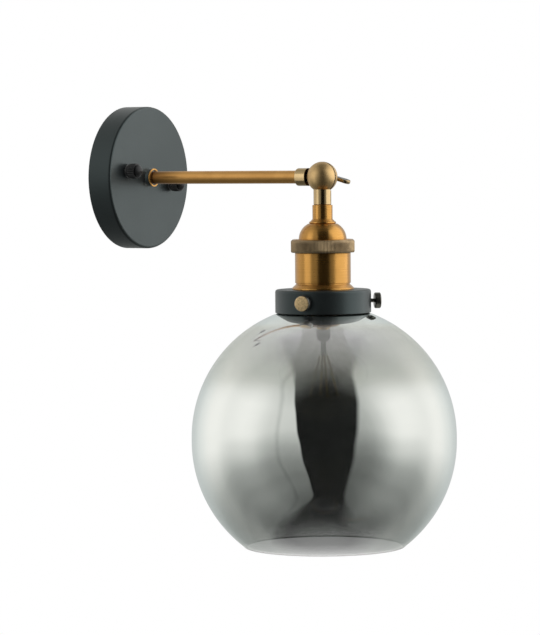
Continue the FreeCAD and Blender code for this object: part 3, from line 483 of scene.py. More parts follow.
def noise(sheet, scale, vector=None, detail=2.0, roughness=0.5):
    """Noise over a piece's own coordinates, or over a given vector; scale is per metre."""
    if vector is None:
        vector = sheet.add("ShaderNodeTexCoord").outputs["Object"]
    inputs = {"Vector": vector, "Scale": scale, "Detail": detail, "Roughness": roughness}
    return sheet.add("ShaderNodeTexNoise", inputs).outputs["Fac"]


def brush_lines_group():
    """Fine parallel lines: stretched coordinates draw the noise out along the brushing."""
    sheet, entry, give = new_group("Brush lines", {"Stretch": ("Vector", (1, 1, 1))}, {"Lines": "Float"})
    spot = sheet.add("ShaderNodeTexCoord").outputs["Object"]
    stretch = {0: spot, 1: entry["Stretch"]}
    drawn = sheet.add("ShaderNodeVectorMath", stretch, operation="MULTIPLY").outputs["Vector"]
    fine = noise(sheet, 1.0, drawn, detail=3.0, roughness=0.65)
    return give(Lines=sheet.spread(fine, 0.25, 0.75))


def tarnish_group():
    """Metal that darkens in soft patches and along its brush lines."""
    sheet, entry, give = new_group(
        "Tarnish",
        {"Metal": ("Color", (0.8, 0.8, 0.8, 1)), "Dark": ("Color", (0.2, 0.2, 0.2, 1)),
         "Patches": ("Float", 80.0), "Amount": ("Float", 0.4), "Lines": ("Float", 0.5),
         "Line share": ("Float", 0.3)},
        {"Colour": "Color", "Patchy": "Float"})
    patch = sheet.spread(noise(sheet, entry["Patches"], detail=4.0, roughness=0.6), 0.38, 0.68)
    lined = sheet.product(sheet.maths("SUBTRACT", 1.0, entry["Lines"]), entry["Line share"])
    shade = sheet.maths("ADD", sheet.product(patch, entry["Amount"]), lined)
    return give(Colour=sheet.mix(shade, entry["Metal"], entry["Dark"]), Patchy=patch)


def skin_group():
    """Sprayed or moulded skin: slight orange peel, fine grain and a soft drift of tone."""
    sheet, entry, give = new_group(
        "Skin",
        {"Colour": ("Color", (0.5, 0.5, 0.5, 1)), "Grain": ("Float", 2500.0), "Drift": ("Float", 0.1)},
        {"Colour": "Color", "Height": "Float", "Dull": "Float"})
    worn = (0.32, 0.32, 0.31, 1)
    grain_share = 0.3
    grain = noise(sheet, entry["Grain"])
    peel = noise(sheet, 420.0, detail=1.0)
    cloud = noise(sheet, 24.0, detail=3.0)
    lift = sheet.product(sheet.maths("SUBTRACT", cloud, 0.5), entry["Drift"])
    colour = sheet.mix(sheet.maths("MAXIMUM", lift, 0.0), entry["Colour"], worn)
    dull = sheet.spread(sheet.maths("ADD", cloud, grain), 0.7, 1.3)
    return give(Colour=colour, Height=sheet.between(grain_share, peel, grain), Dull=dull)


def smudge_group():
    """Faint handling marks and dust that dull a polished surface here and there."""
    sheet, entry, give = new_group(
        "Smudges", {"Size": ("Float", 18.0), "Clean": ("Float", 0.02), "Dulled": ("Float", 0.1)},
        {"Roughness": "Float", "Film": "Float"})
    dust_share = 0.6
    film = sheet.spread(noise(sheet, entry["Size"], detail=5.0, roughness=0.65), 0.5, 0.75)
    dust = sheet.spread(noise(sheet, 900.0, detail=1.0), 0.68, 0.74)
    marks = sheet.maths("MAXIMUM", film, sheet.product(dust, dust_share))
    return give(Roughness=sheet.between(marks, entry["Clean"], entry["Dulled"]), Film=film)


def shared(name, make):
    """A node group, made the first time it is asked for."""
    return bpy.data.node_groups.get(name) or make()


def new_finish(name, **plain):
    """A material with a Principled shader; plain values are set on its own sockets."""
    material = bpy.data.materials.new(name)
    material.use_nodes = True
    sheet = Sheet(material.node_tree)
    sheet.tree.nodes.clear()
    shader = sheet.add("ShaderNodeBsdfPrincipled", plain)
    sheet.add("ShaderNodeOutputMaterial", {"Surface": shader.outputs["BSDF"]})
    return material, sheet, shader.inputs


def opened(material):
    """The sheet of a finish and its shader's sockets, to wire something more."""
    sheet = Sheet(material.node_tree)
    shader = next(node for node in sheet.tree.nodes if node.type == "BSDF_PRINCIPLED")
    return sheet, shader.inputs


def bump(sheet, height, strength, distance):
    """The normal of a surface raised by a height."""
    node = sheet.add("ShaderNodeBump", {"Strength": strength, "Distance": distance, "Height": height})
    return node.outputs["Normal"]


def opaque(colour):
    """A colour with its fourth channel."""
    return (*colour, 1.0)


def metal_finish(name, metal, dark, stretch, roughness, amount, lines, patches=90.0, relief=0.12, **plain):
    """Brushed or satin metal; stretch is the brushing's fineness along X, Y and Z, per metre."""
    line_depth = 0.4 * MM
    material, sheet, sockets = new_finish(name, **{"Metallic": 1.0, **plain})
    if "Anisotropic" in plain:
        turned = sheet.add("ShaderNodeTangent", direction_type="RADIAL", axis="Z")
        sheet.feed(sockets["Tangent"], turned.outputs["Tangent"])
    brush = sheet.place(shared("Brush lines", brush_lines_group), Stretch=stretch)
    tone = sheet.place(shared("Tarnish", tarnish_group), **{
        "Metal": opaque(metal), "Dark": opaque(dark), "Patches": patches, "Amount": amount,
        "Lines": brush["Lines"], "Line share": lines})
    mottle = sheet.between(0.5, brush["Lines"], tone["Patchy"])
    sheet.feed(sockets["Base Color"], tone["Colour"])
    sheet.feed(sockets["Roughness"], sheet.spread(mottle, 0.1, 0.9, *roughness))
    sheet.feed(sockets["Normal"], bump(sheet, brush["Lines"], relief, line_depth))
    return material


def skin_finish(name, colour, roughness, grain=2500.0, drift=0.12, relief=0.08, **plain):
    """Paint, plastic, fibre or ceramic."""
    peel_depth = 0.3 * MM
    material, sheet, sockets = new_finish(name, **plain)
    skin = sheet.place(shared("Skin", skin_group), Colour=opaque(colour), Grain=grain, Drift=drift)
    sheet.feed(sockets["Base Color"], skin["Colour"])
    sheet.feed(sockets["Roughness"], sheet.spread(skin["Dull"], 0.0, 1.0, *roughness))
    sheet.feed(sockets["Normal"], bump(sheet, skin["Height"], relief, peel_depth))
    return material


def coated_glass(name, colour, aslant, thin, stops):
    """Half mirror on the globe's outside: the coat is dense at the middle and thins out at both ends."""
    wander, dusty, dusty_share = 3 * MM, (0.62, 0.63, 0.63, 1), 0.06
    tint_span, thin_span, mirror_span, edge_mirror = (0.35, 0.8), (0.9, 0.3), (0.3, 0.75), 0.75
    material, sheet, sockets = new_finish(name, Metallic=1.0)
    spot = sheet.add("ShaderNodeTexCoord").outputs["Object"]
    level = sheet.add("ShaderNodeSeparateXYZ", {"Vector": spot}).outputs["Z"]
    uneven = sheet.spread(noise(sheet, 9.0, detail=1.0), 0.0, 1.0, -wander, wander)
    density = sheet.graded(sheet.maths("ADD", level, uneven), stops)
    smudge = sheet.place(shared("Smudges", smudge_group), Size=16.0, Clean=0.03, Dulled=0.075)
    facing = sheet.add("ShaderNodeLayerWeight", {"Blend": 0.3}).outputs["Facing"]
    tinted = sheet.mix(sheet.spread(facing, *tint_span), opaque(colour), opaque(aslant))
    thinned = sheet.mix(sheet.spread(density, *thin_span), tinted, opaque(thin))
    sheet.feed(sockets["Base Color"], sheet.mix(sheet.product(smudge["Film"], dusty_share), thinned, dusty))
    sheet.feed(sockets["Roughness"], smudge["Roughness"])
    mirrored = sheet.spread(facing, *mirror_span, 0.0, edge_mirror)
    sheet.feed(sockets["Alpha"], sheet.between(mirrored, density, 1.0))
    return material


def thin_glass(name, colour, alpha, roughness, one_sided=False):
    """Tinted glass that is seen through, with faint smudges; one-sided glass is clear from behind."""
    clean, dulled = roughness
    material, sheet, sockets = new_finish(name, Metallic=0.0, IOR=1.5)
    smudge = sheet.place(shared("Smudges", smudge_group), Size=30.0, Clean=clean, Dulled=dulled)
    dense = sheet.spread(smudge["Film"], 0.0, 1.0, *alpha)
    if one_sided:
        behind = sheet.add("ShaderNodeNewGeometry").outputs["Backfacing"]
        dense = sheet.product(dense, sheet.maths("SUBTRACT", 1.0, behind))
    sheet.feed(sockets["Base Color"], opaque(colour))
    sheet.feed(sockets["Roughness"], smudge["Roughness"])
    sheet.feed(sockets["Alpha"], dense)
    return material


# Fineness of the brushing along X, Y and Z, per metre
ALONG_THE_ARM = (1600.0, 4.0, 1600.0)
ROUND_THE_HOLDER = (6.0, 6.0, 1400.0)
ALL_WAYS = (1500.0, 1500.0, 1500.0)
SPANGLED = (700.0, 700.0, 700.0)

# Density of the globe's coat by height in metres: thin at the mouth and under the gallery
GLOBE_STOPS = (
    (-0.2795, 0.36), (-0.276, 0.55), (-0.27, 0.77), (-0.257, 0.84), (-0.236, 0.92), (-0.2, 0.93),
    (-0.165, 0.94), (-0.155, 0.85), (-0.15, 0.72), (-0.1445, 0.6), (-0.137, 0.48), (-0.126, 0.33),
    (-0.1165, 0.2), (-0.1125, 0.3), (-0.1085, 0.88), (-0.085, 0.92))

# The record's slots come first, then finishes that only part of a piece takes
FINISHES = {
    "black_paint": lambda name, tint: skin_finish(
        name, tint.paint, roughness=(0.3, 0.42), drift=0.02, IOR=1.55,
        **{"Specular Tint": (0.8, 1.0, 1.0, 1.0)}),
    "brushed_copper": lambda name, tint: metal_finish(
        name, tint.copper, tint.copper_dark, ALONG_THE_ARM, roughness=(0.3, 0.4),
        amount=0.2, lines=0.3, relief=0.03),
    "antique_brass": lambda name, tint: metal_finish(
        name, tint.antique, tint.antique_dark, ALL_WAYS, roughness=(0.16, 0.24),
        amount=0.4, lines=0.12, patches=60.0, relief=0.015),
    "brushed_brass": lambda name, tint: metal_finish(
        name, tint.brass, tint.brass_dark, ROUND_THE_HOLDER, roughness=(0.26, 0.34),
        amount=0.12, lines=0.75, relief=0.05,
        **{"Metallic": 0.94, "Anisotropic": 0.9, "Anisotropic Rotation": 0.25}),
    "dark_bronze": lambda name, tint: metal_finish(
        name, tint.bronze, tint.bronze_dark, ALL_WAYS, roughness=(0.34, 0.5),
        amount=0.4, lines=0.2, patches=160.0, relief=0.06),
    "zinc_steel": lambda name, tint: metal_finish(
        name, tint.zinc, tint.zinc_dark, SPANGLED, roughness=(0.32, 0.5),
        amount=0.5, lines=0.2, patches=260.0),
    "contact_brass": lambda name, tint: metal_finish(
        name, tint.contact, tint.contact_dark, ALL_WAYS, roughness=(0.25, 0.4), amount=0.3, lines=0.2),
    "white_ceramic": lambda name, tint: skin_finish(
        name, tint.ceramic, roughness=(0.28, 0.45), grain=1500.0, relief=0.05),
    "terminal_plastic": lambda name, tint: skin_finish(
        name, tint.plastic, roughness=(0.42, 0.6), grain=3000.0),
    "wire_insulation": lambda name, tint: skin_finish(
        name, tint.wire, roughness=(0.4, 0.55), grain=3000.0, drift=0.05),
    "fibre": lambda name, tint: skin_finish(
        name, tint.fibre, roughness=(0.7, 0.9), grain=4000.0, relief=0.3),
    "smoked_glass": lambda name, tint: coated_glass(
        name, tint.coat, tint.coat_edge, tint.coat_thin, GLOBE_STOPS),
    "clear_glass": lambda name, tint: thin_glass(
        name, tint.bulb, alpha=(0.055, 0.085), roughness=(0.01, 0.05)),
    "bulb_metal": lambda name, tint: metal_finish(
        name, tint.bulb_metal, tint.bulb_metal_dark, ROUND_THE_HOLDER, roughness=(0.42, 0.58),
        amount=0.3, lines=0.25),
    "black_glass": lambda name, tint: skin_finish(
        name, tint.insulator, roughness=(0.08, 0.2), relief=0.02),
    "filament_coat": lambda name, tint: thin_glass(
        name, tint.filament, alpha=(0.4, 0.55), roughness=(0.3, 0.5)),
    "nut": lambda name, tint: skin_finish(
        name, tint.wire, roughness=(0.3, 0.42), drift=0.02, IOR=1.35),
    "ball": lambda name, tint: metal_finish(
        name, tint.ball, tint.ball_dark, ALL_WAYS, roughness=(0.36, 0.48),
        amount=0.35, lines=0.12, patches=60.0, relief=0.015),
    "screw_side": lambda name, tint: metal_finish(
        name, tint.screw_side, tint.wire, ALL_WAYS, roughness=(0.25, 0.4),
        amount=0.3, lines=0.2, relief=0.03),
    "screw_face": lambda name, tint: metal_finish(
        name, tint.screw_face, tint.bronze, ALL_WAYS, roughness=(0.3, 0.45),
        amount=0.7, lines=0.2, patches=650.0, relief=0.05),
    "globe_inside": lambda name, tint: thin_glass(
        name, tint.glass_edge, alpha=(0.18, 0.24), roughness=(0.02, 0.06)),
    "globe_rim": lambda name, tint: thin_glass(
        name, tint.rim, alpha=(0.46, 0.54), roughness=(0.1, 0.2)),
    # Painted shade: near-black, almost opaque inner face of the rim, which draws a dark line at the far rim
    # where there is only shade; seen from behind it is clear.
    "globe_rim_inside": lambda name, tint: thin_glass(
        name, tint.wire, alpha=(0.9, 0.96), roughness=(0.02, 0.08), one_sided=True),
    "stem": lambda name, tint: thin_glass(
        name, tint.stem, alpha=(0.26, 0.36), roughness=(0.1, 0.2)),
}


def finish_for(slot):
    """The finish of a slot, made the first time it is asked for."""
    made = bpy.data.materials.get("finish_" + slot)
    return made or FINISHES[slot]("finish_" + slot, bpy.context.scene.lamp_finishes)


# Pieces, with sizes in millimetres

class BuildCanopy(bpy.types.Operator):
    """Canopy cup, its two knurled nuts and the bracket behind it"""

    bl_idname = "wall_lamp.build_canopy"
    bl_label = "Canopy"

    def execute(self, context):
        size = sizes()
        back, face = wall_levels("canopy")
        radius, wall, edge, soft = half_width("canopy"), size.sheet_wall, size.canopy_edge, size.edge_round
        arm_hole = half_width("arm_tube") + FIT
        outline = rounded([
            (arm_hole, face), (arm_hole, face - wall),
            (radius - wall, face - wall, edge - wall), (radius - wall, back, soft),
            (radius, back, soft), (radius, face, edge)], steps=8)
        add_piece("canopy_cup", lathe(outline, WALL, segments=160), "canopy", ["black_paint"])
        for side in ("left", "right"):
            self.cap_nut(f"canopy_nut_{side}", face, size)
        dress("wall_bracket", "bracket_studs", "stud_lock_nuts", "earth_screw")
        dress("arm_lock_nut", "arm_lock_washer")
        return {"FINISHED"}

    def cap_nut(self, node, face, size):
        """A cap nut: a plain foot, a knurled barrel, a groove and a crowned end."""
        foot, foot_inset, crown_height = 2.0, 0.9, 3.6
        groove, groove_width, chamfer, flatness = 0.8, 0.5, 0.3, 1.25
        barrel_rings, sides_a_tooth = 6, 8
        start, end = wall_levels(node)
        spot = Vector(JOINTS[node + "_turn"]["pos_m"])
        place = Matrix.Translation((spot.x, -face * MM, spot.z)) @ WALL
        radius, soft, length = half_width(node), size.edge_round, end - start
        grip, crown = length - crown_height, radius - foot_inset
        groove_start = grip + chamfer
        groove_end = groove_start + groove_width
        outline = rounded([(0, 0), (crown, 0, soft), (crown, foot, soft / 2), (radius, foot, soft)])
        outline += [(radius, foot + (grip - foot) * step / barrel_rings)
                    for step in range(1, barrel_rings + 1)]
        outline += [(crown - groove, groove_start), (crown - groove, groove_end)]
        outline += swept((crown, groove_end + chamfer), (0, length), crown * flatness, steps=10)
        form = knurl(size.nut_teeth, size.tooth_depth, foot, grip, radius)
        mesh = lathe(outline, place, size.nut_teeth * sides_a_tooth, form)
        add_piece(node + "_cap", mesh, node, ["nut"], sharp=45)


class BuildArm(bpy.types.Operator):
    """Brushed arm tube with the collar and bright ring where it leaves the canopy"""

    bl_idname = "wall_lamp.build_arm"
    bl_label = "Arm"

    def execute(self, context):
        size = sizes()
        soft, radius = size.edge_round, half_width("arm_tube")
        wall, collar_edge, ring_width, ring_edge = 1.1, 0.8, 1.1, 0.3
        ring_bore = half_width("arm_collar_ring") - ring_width
        # Paints the canopy's dark reflection onto the arm's end as a painted reflection.
        self.paint_canopy_reflection(size.canopy_reflection_reach * MM, context.scene.lamp_finishes)
        for node, bore, front_edge, finish in (
                ("arm_tube", radius - wall, soft, SLOTS["arm_tube"]),
                ("arm_collar", radius + FIT, collar_edge, SLOTS["arm_collar"]),
                ("arm_collar_ring", ring_bore, ring_edge, "brushed_brass")):
            start, end = wall_levels(node)
            outer = half_width(node)
            outline = rounded([(bore, start), (outer, start, soft), (outer, end, front_edge), (bore, end)])
            add_piece(node + "_turned", lathe(outline, WALL, segments=72), node, [finish])
        return {"FINISHED"}

    def paint_canopy_reflection(self, length, tint):
        """Painted reflection: darkens the arm's finish towards the canopy, standing in for the dark canopy
        mirrored in the copper.
        """
        sheet, sockets = opened(finish_for(SLOTS["arm_tube"]))
        spot = sheet.add("ShaderNodeTexCoord").outputs["Object"]
        reach = sheet.add("ShaderNodeSeparateXYZ", {"Vector": spot}).outputs["Y"]
        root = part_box("arm_collar_ring")[0].y
        # clean is the share away from the root; towards the canopy the painted reflection takes over.
        clean = sheet.spread(reach, root, root - length)
        copper = sockets["Base Color"].links[0].from_socket
        sheet.feed(sockets["Base Color"], sheet.mix(clean, opaque(tint.copper_painted_reflection), copper))


class BuildKnuckle(bpy.types.Operator):
    """Clamped ball knuckle, its washer and the wing screw"""

    bl_idname = "wall_lamp.build_knuckle"
    bl_label = "Knuckle"

    def execute(self, context):
        size = sizes()
        ball = (PIVOT.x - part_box("knuckle_head_half")[0].x) / MM
        self.half("knuckle_arm_half", ARM_HALF, ball, size, size.turning_room)
        self.half("knuckle_head_half", HEAD_HALF, ball, size, size.seam_gap)
        self.wing(size)
        dress("knuckle_washer", "head_nipple")
        return {"FINISHED"}

    def half(self, node, place, ball, size, turning_room):
        """A half ball, with a stub along X that is hollowed to let the other half turn past it."""
        wall, chamfer, brim, root_share = 1.7, 0.5, 0.1, 0.7
        seam, stub, reach, soft = size.seam_gap / 2, size.stub_radius, size.stub_reach, size.edge_round
        bore, room, shoulder = stub - wall, ball + turning_room, seam + chamfer
        dome = [(0, seam), (ball - chamfer, seam)]
        dome += swept((math.sqrt(ball ** 2 - shoulder ** 2), shoulder), (0, ball), ball, steps=28)

        def hollowed(angle, radius, along):
            if along > room:
                return radius, along
            own_side = radius * math.sin(angle) > seam
            return radius, ball * root_share if own_side else math.sqrt(room ** 2 - radius ** 2)

        tube = [(bore, room), ((bore + stub) / 2, room), (stub, room)]
        tube += rounded([(stub, room + brim), (stub, reach, 2 * soft), (bore, reach)])
        mesh = together(
            lathe(dome, place, segments=96, finish_of=lambda side: 1),
            lathe(tube, place @ ACROSS, segments=120, form=hollowed))
        add_piece(node + "_turned", mesh, node, [SLOTS[node], "ball"])

    def wing(self, size):
        """Hub and flat wing of the clamping screw, with softened edges."""
        node = "wing_screw"
        shank, shank_start, hub, hub_length, nose = 2.0, 2.0, 4.0, 3.4, 1.4
        wing_rise, nose_rise, nose_end = 1.7, 0.8, 0.9
        foot_inset, foot_lift, softening = 0.4, 1.3, 0.7
        lobe, thick, soft = size.wing_lobe, size.wing_thick, size.edge_round
        tip = (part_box(node)[1].x - PIVOT.x) / MM
        hub_end = tip - wing_rise * lobe
        hub_start = hub_end - hub_length
        place = Matrix.Translation(PIVOT) @ Matrix.Rotation(size.wing_angle, 4, "X") @ ACROSS
        outline = rounded([
            (0, shank_start), (shank, shank_start), (shank, hub_start), (hub, hub_start, soft),
            (hub, hub_end, soft), (nose, hub_end + lobe * nose_rise, soft), (0, hub_end + lobe * nose_end)])
        flat = self.wing_outline(size, tip, hub - foot_inset, hub_start + foot_lift)
        plate = bmesh.new()
        corners = [Vector((across * MM, -thick / 2 * MM, up * MM)) for across, up in flat]
        face = plate.faces.new([plate.verts.new(place @ corner) for corner in corners])
        raised = bmesh.ops.extrude_face_region(plate, geom=[face])["geom"]
        lifted = [item for item in raised if isinstance(item, bmesh.types.BMVert)]
        bmesh.ops.translate(plate, verts=lifted, vec=place.to_3x3() @ Vector((0, thick * MM, 0)))
        for side in plate.faces:
            side.material_index = 1 if len(side.verts) > 4 else 0
        rims = [edge for edge in plate.edges if any(side.material_index for side in edge.link_faces)]
        bmesh.ops.bevel(
            plate, geom=rims, offset=softening * MM, segments=3, profile=0.5, affect="EDGES", material=0)
        bmesh.ops.recalc_face_normals(plate, faces=plate.faces)
        for side in plate.faces:
            side.smooth = True
        mesh = together(lathe(outline, place, segments=48), plate)
        add_piece(node + "_turned", mesh, node, [SLOTS[node], "screw_side"])

    def wing_outline(self, size, tip, foot_across, foot_up):
        """The wing's outline: a foot on the hub, a round lobe and a shallow dip, then the same mirrored."""
        first_angle, angle_step, lobe_points, dip = -100, 10, 23, 0.2
        lobe = size.wing_lobe
        middle, aside = tip - lobe, size.wing_span / 2 - lobe
        angles = [math.radians(first_angle + angle_step * step) for step in range(lobe_points)]
        flat = [(foot_across, foot_up)]
        flat += [(aside + lobe * math.cos(angle), middle + lobe * math.sin(angle)) for angle in angles]
        mirrored = [(-across, up) for across, up in reversed(flat)]
        return flat + [(0, middle - dip)] + mirrored


class BuildHolder(bpy.types.Operator):
    """Lamp holder: cap with its bead and dome, knurled ring, straight body and inner parts"""

    bl_idname = "wall_lamp.build_holder"
    bl_label = "Lamp holder"

    def execute(self, context):
        size = sizes()
        ring_start, ring_end = head_levels("holder_ring")
        self.cap(size, ring_start)
        self.ring(size, ring_start, ring_end)
        self.body(size, ring_end)
        dress("holder_insert", "insert_screws", "centre_contact", "socket_shell")
        return {"FINISHED"}

    def cap(self, size, dome_end):
        """Straight neck, round bead and dome, with a short skirt inside the ring."""
        bore, neck, neck_fillet, bead, bead_thick = 5.0, 7.6, 0.25, 10.2, 1.7
        dome_top, wall, skirt = 11.0, 1.0, 1.6
        start = head_levels("holder_cap")[0]
        dome, dome_start = size.dome_radius, dome_end - size.dome_height
        swell = dome - dome_top
        bend = (swell ** 2 + size.dome_height ** 2) / (2 * swell)
        bead_start, bead_round = dome_start - bead_thick, bead_thick / 2
        bead_face, inner_top = bead - bead_round, (dome_top - wall / 2, dome_start + wall)
        outline = rounded([(bore, start), (neck, start, size.edge_round), (neck, bead_start, neck_fillet)])
        outline += swept((bead_face, bead_start), (bead_face, dome_start), bead_round, steps=10)
        outline += swept((dome_top, dome_start), (dome, dome_end), bend, steps=16)
        outline += [(dome, dome_end + skirt), (dome - wall, dome_end + skirt)]
        outline += swept((dome - wall, dome_end), inner_top, -(bend - wall), steps=10)
        outline += [(bore, dome_start + wall)]
        add_piece("holder_cap_turned", lathe(outline, HEAD, segments=128), "holder_cap", ["brushed_brass"])

    def ring(self, size, start, end):
        """Knurled ring with a bright chamfered top."""
        room, lip, wall, chamfer, brow, brow_drop = 0.3, 1.5, 3.6, 1.4, 0.9, 0.35
        foot_round, foot_inset, side_rings, sides_a_tooth, bright_sides = 0.8, 0.55, 5, 6, (1, 2)
        shallow, teeth_after, teeth_before = 0.6, 0.6, 0.1
        outer, bore = half_width("holder_ring"), size.dome_radius + room
        top, straight = start + chamfer, end - start - chamfer - foot_round
        outline = [(bore, start + lip), (bore, start), (outer - chamfer, start)]
        outline += [(outer - brow, start + brow_drop)]
        outline += [(outer, top + straight * step / side_rings) for step in range(side_rings + 1)]
        outline += [(outer - foot_inset, end), (outer - wall, end), (outer - wall, start + lip)]
        depth = size.tooth_depth * shallow
        form = knurl(size.ring_teeth, depth, start + teeth_after, end - teeth_before, outer)
        mesh = lathe(outline, HEAD, size.ring_teeth * sides_a_tooth, form,
                     finish_of=lambda side: 1 if side in bright_sides else 0)
        add_piece("holder_ring_knurled", mesh, "holder_ring", ["dark_bronze", "brushed_brass"], sharp=50)

    def body(self, size, start):
        """Straight body with a tongue in the ring, a groove above the flared foot and a spigot below."""
        tongue, tongue_inset, tongue_wall, step = 4.0, 0.9, 1.5, 0.3
        groove, groove_height, groove_edge, groove_fillet = 0.7, 0.9, 0.15, 0.3
        flare_stand, flare_lip, flare_draft, flare_round = 2.5, 1.1, 0.15, 0.5
        spigot_inset, spigot_wall, spigot_edge = 2.0, 1.0, 0.2
        soft, radius, end = size.edge_round, size.body_radius, head_levels("gallery")[0]
        foot, spigot_end = end - size.flare_height, head_levels("holder_body")[1]
        flare, waist, spigot = radius + flare_stand, radius - groove, radius - spigot_inset
        inset = radius - tongue_inset
        outline = rounded([
            (inset - tongue_wall, start - tongue), (inset, start - tongue), (inset, start + step),
            (radius, start + step, soft), (radius, foot, soft), (waist, foot, groove_edge),
            (waist, foot + groove_height, groove_fillet),
            (flare - flare_draft, end - flare_lip, flare_round), (flare, end, soft),
            (spigot, end), (spigot, spigot_end, spigot_edge),
            (spigot - spigot_wall, spigot_end, spigot_edge), (spigot - spigot_wall, foot)])
        mesh = lathe(outline, HEAD, segments=128)
        add_piece("holder_body_turned", mesh, "holder_body", ["brushed_brass"])


class BuildGallery(bpy.types.Operator):
    """Black gallery that carries the globe, its clamp ring and three thumb screws"""

    bl_idname = "wall_lamp.build_gallery"
    bl_label = "Gallery"

    def execute(self, context):
        size = sizes()
        spigot_hole, hole_edge = 1.7, 0.2
        wall, edge, soft = size.gallery_wall, size.gallery_edge, size.edge_round
        start, end = head_levels("gallery")
        outer, hole = half_width("gallery"), size.body_radius - spigot_hole
        outline = rounded([
            (hole, start, hole_edge), (outer, start, edge), (outer, end, soft), (outer - wall, end, soft),
            (outer - wall, start + wall, edge - wall), (hole, start + wall, hole_edge)], steps=8)
        add_piece("gallery_cup", lathe(outline, HEAD, segments=160), "gallery", ["black_paint"])
        for number in (1, 2, 3):
            self.thumb_screw(f"thumb_screw_{number}", size)
        dress("shade_ring")
        return {"FINISHED"}

    def thumb_screw(self, node, size):
        """A smooth crowned head on a plain shank, along its own joint's axis."""
        shank, shank_start, chamfer, head = 1.5, -7.3, 0.3, 6.0
        head_start, head_end, crown, crown_bend, bright_edge = 3.0, 7.6, 0.2, 73.0, 3
        bend, flat = size.screw_head_round, head - size.screw_head_round
        spot = Vector(JOINTS[node + "_turn"]["pos_m"])
        outward = (spot - PIVOT) * Vector((1, 1, 0))
        place = Matrix.Translation(spot) @ outward.to_track_quat("Z", "Y").to_matrix().to_4x4()
        outline = [(0, shank_start), (shank - chamfer, shank_start), (shank, shank_start + chamfer)]
        outline += [(shank, head_start)]
        outline += swept((flat, head_start), (head, head_start + bend), bend, steps=6)
        outline += swept((head, head_end - bend), (flat, head_end), bend, steps=6)
        face = len(outline) - bright_edge
        outline += arc((flat, head_end), (0, head_end + crown), crown_bend, steps=6)
        mesh = lathe(outline, place, segments=64, finish_of=lambda side: 0 if side >= face else 1)
        add_piece(node + "_head", mesh, node, ["screw_face", "screw_side"])


class BuildGlobe(bpy.types.Operator):
    """Half-mirrored glass globe, open below, with a lip inside the gallery"""

    bl_idname = "wall_lamp.build_globe"
    bl_label = "Globe"

    def execute(self, context):
        cut, belt, neck, shoulder, lip_size, rim_swell, ground_sides = 80.0, 3.0, 28.5, 3.0, 3.0, 0.9, 7
        wall, radius = sizes().globe_wall, half_width("glass_globe")
        lip, rim = head_levels("glass_globe")
        inner, lower, upper = radius - wall, rim - cut, rim - cut - belt
        turned_in, far = neck + shoulder, radius + shoulder
        reach = math.sqrt(far ** 2 - turned_in ** 2)
        bend = upper - reach
        outer_top = (turned_in * radius / far, upper - reach * radius / far)
        inner_top = (turned_in * inner / far, upper - reach * inner / far)
        rim_level, rim_bend = rim - wall / 2, wall / 2 + rim_swell
        rim_outer = math.sqrt(radius ** 2 - (rim_level - lower) ** 2)
        rim_inner = math.sqrt(inner ** 2 - (rim_level - lower) ** 2)
        middle = (rim_outer + rim_inner) / 2
        outside = [(neck, lip + lip_size)] + swept((neck, bend), outer_top, -shoulder, steps=6)
        outside += arc(outer_top, (radius, upper), radius, steps=40)
        outside += swept((radius, lower), (rim_outer, rim_level), radius, steps=34)
        edge = arc((rim_outer, rim_level), (middle, rim), rim_bend, steps=5)
        edge += arc((middle, rim), (rim_inner, rim_level), rim_bend, steps=5)
        inside = arc((rim_inner, rim_level), (inner, lower), -inner, steps=34)
        inside += swept((inner, upper), inner_top, -inner, steps=40)
        inside += arc(inner_top, (neck - wall, bend), shoulder + wall, steps=6)
        inside += [(neck - wall, lip), (neck + lip_size, lip), (neck + lip_size, lip + lip_size)]
        first_edge, last_edge = len(outside) - 1, len(outside) + len(edge) - 1

        # The last inner sides of the rim take the near-black one-sided finish, a painted shade line along
        # the far rim.
        def finish_of(side):
            if side < first_edge:
                return 0
            if side >= last_edge:
                return 1
            return 2 if side < first_edge + ground_sides else 3

        mesh = lathe(outside + edge + inside, HEAD, segments=192, finish_of=finish_of)
        finishes = ["smoked_glass", "globe_inside", "globe_rim", "globe_rim_inside"]
        add_piece("globe_shade", mesh, "glass_globe", finishes, sharp=50)
        return {"FINISHED"}


class BuildBulb(bpy.types.Operator):
    """Filament bulb with its threaded cap"""

    bl_idname = "wall_lamp.build_bulb"
    bl_label = "Bulb"

    def execute(self, context):
        dress("bulb_glass", "bulb_cap", "bulb_insulator", "bulb_tip", "bulb_filaments")
        dress("bulb_stem", finish="stem")
        return {"FINISHED"}


class DressWiring(bpy.types.Operator):
    """Mains terminal and the insulated wires"""

    bl_idname = "wall_lamp.dress_wiring"
    bl_label = "Wiring"

    def execute(self, context):
        dress("terminal_block", "terminal_screws", "arm_wires", "head_wires")
        return {"FINISHED"}


# Stage, in metres, with the film in millimetres and the number of glass walls that a ray passes

FILM_WIDTH = 36
GLASS_WALLS = 24
FLOOR_HALF = 1.6
FLOOR_GLOW = 0.58
ROOM_LIGHT = 0.3
BLACK, WHITE = (0, 0, 0, 1), (1, 1, 1, 1)

# Name, degrees to the right of the camera's line, degrees up, width and power property of each lamp
SOFTBOXES = (
    ("softbox_left", -62, 25, 1.8, "fill_power"),
    ("softbox_right", 86, 25, 1.8, "key_power"),
    ("strip_left", -68, 4, 0.64, "strip_power"))
SOFTBOX_HEIGHT = 1.75
SOFTBOX_AWAY = 1.2
LIT_DROP = 0.19
STRIP_LIT = (
    "holder_cap_turned", "holder_body_turned", "knuckle_arm_half_turned", "knuckle_head_half_turned")

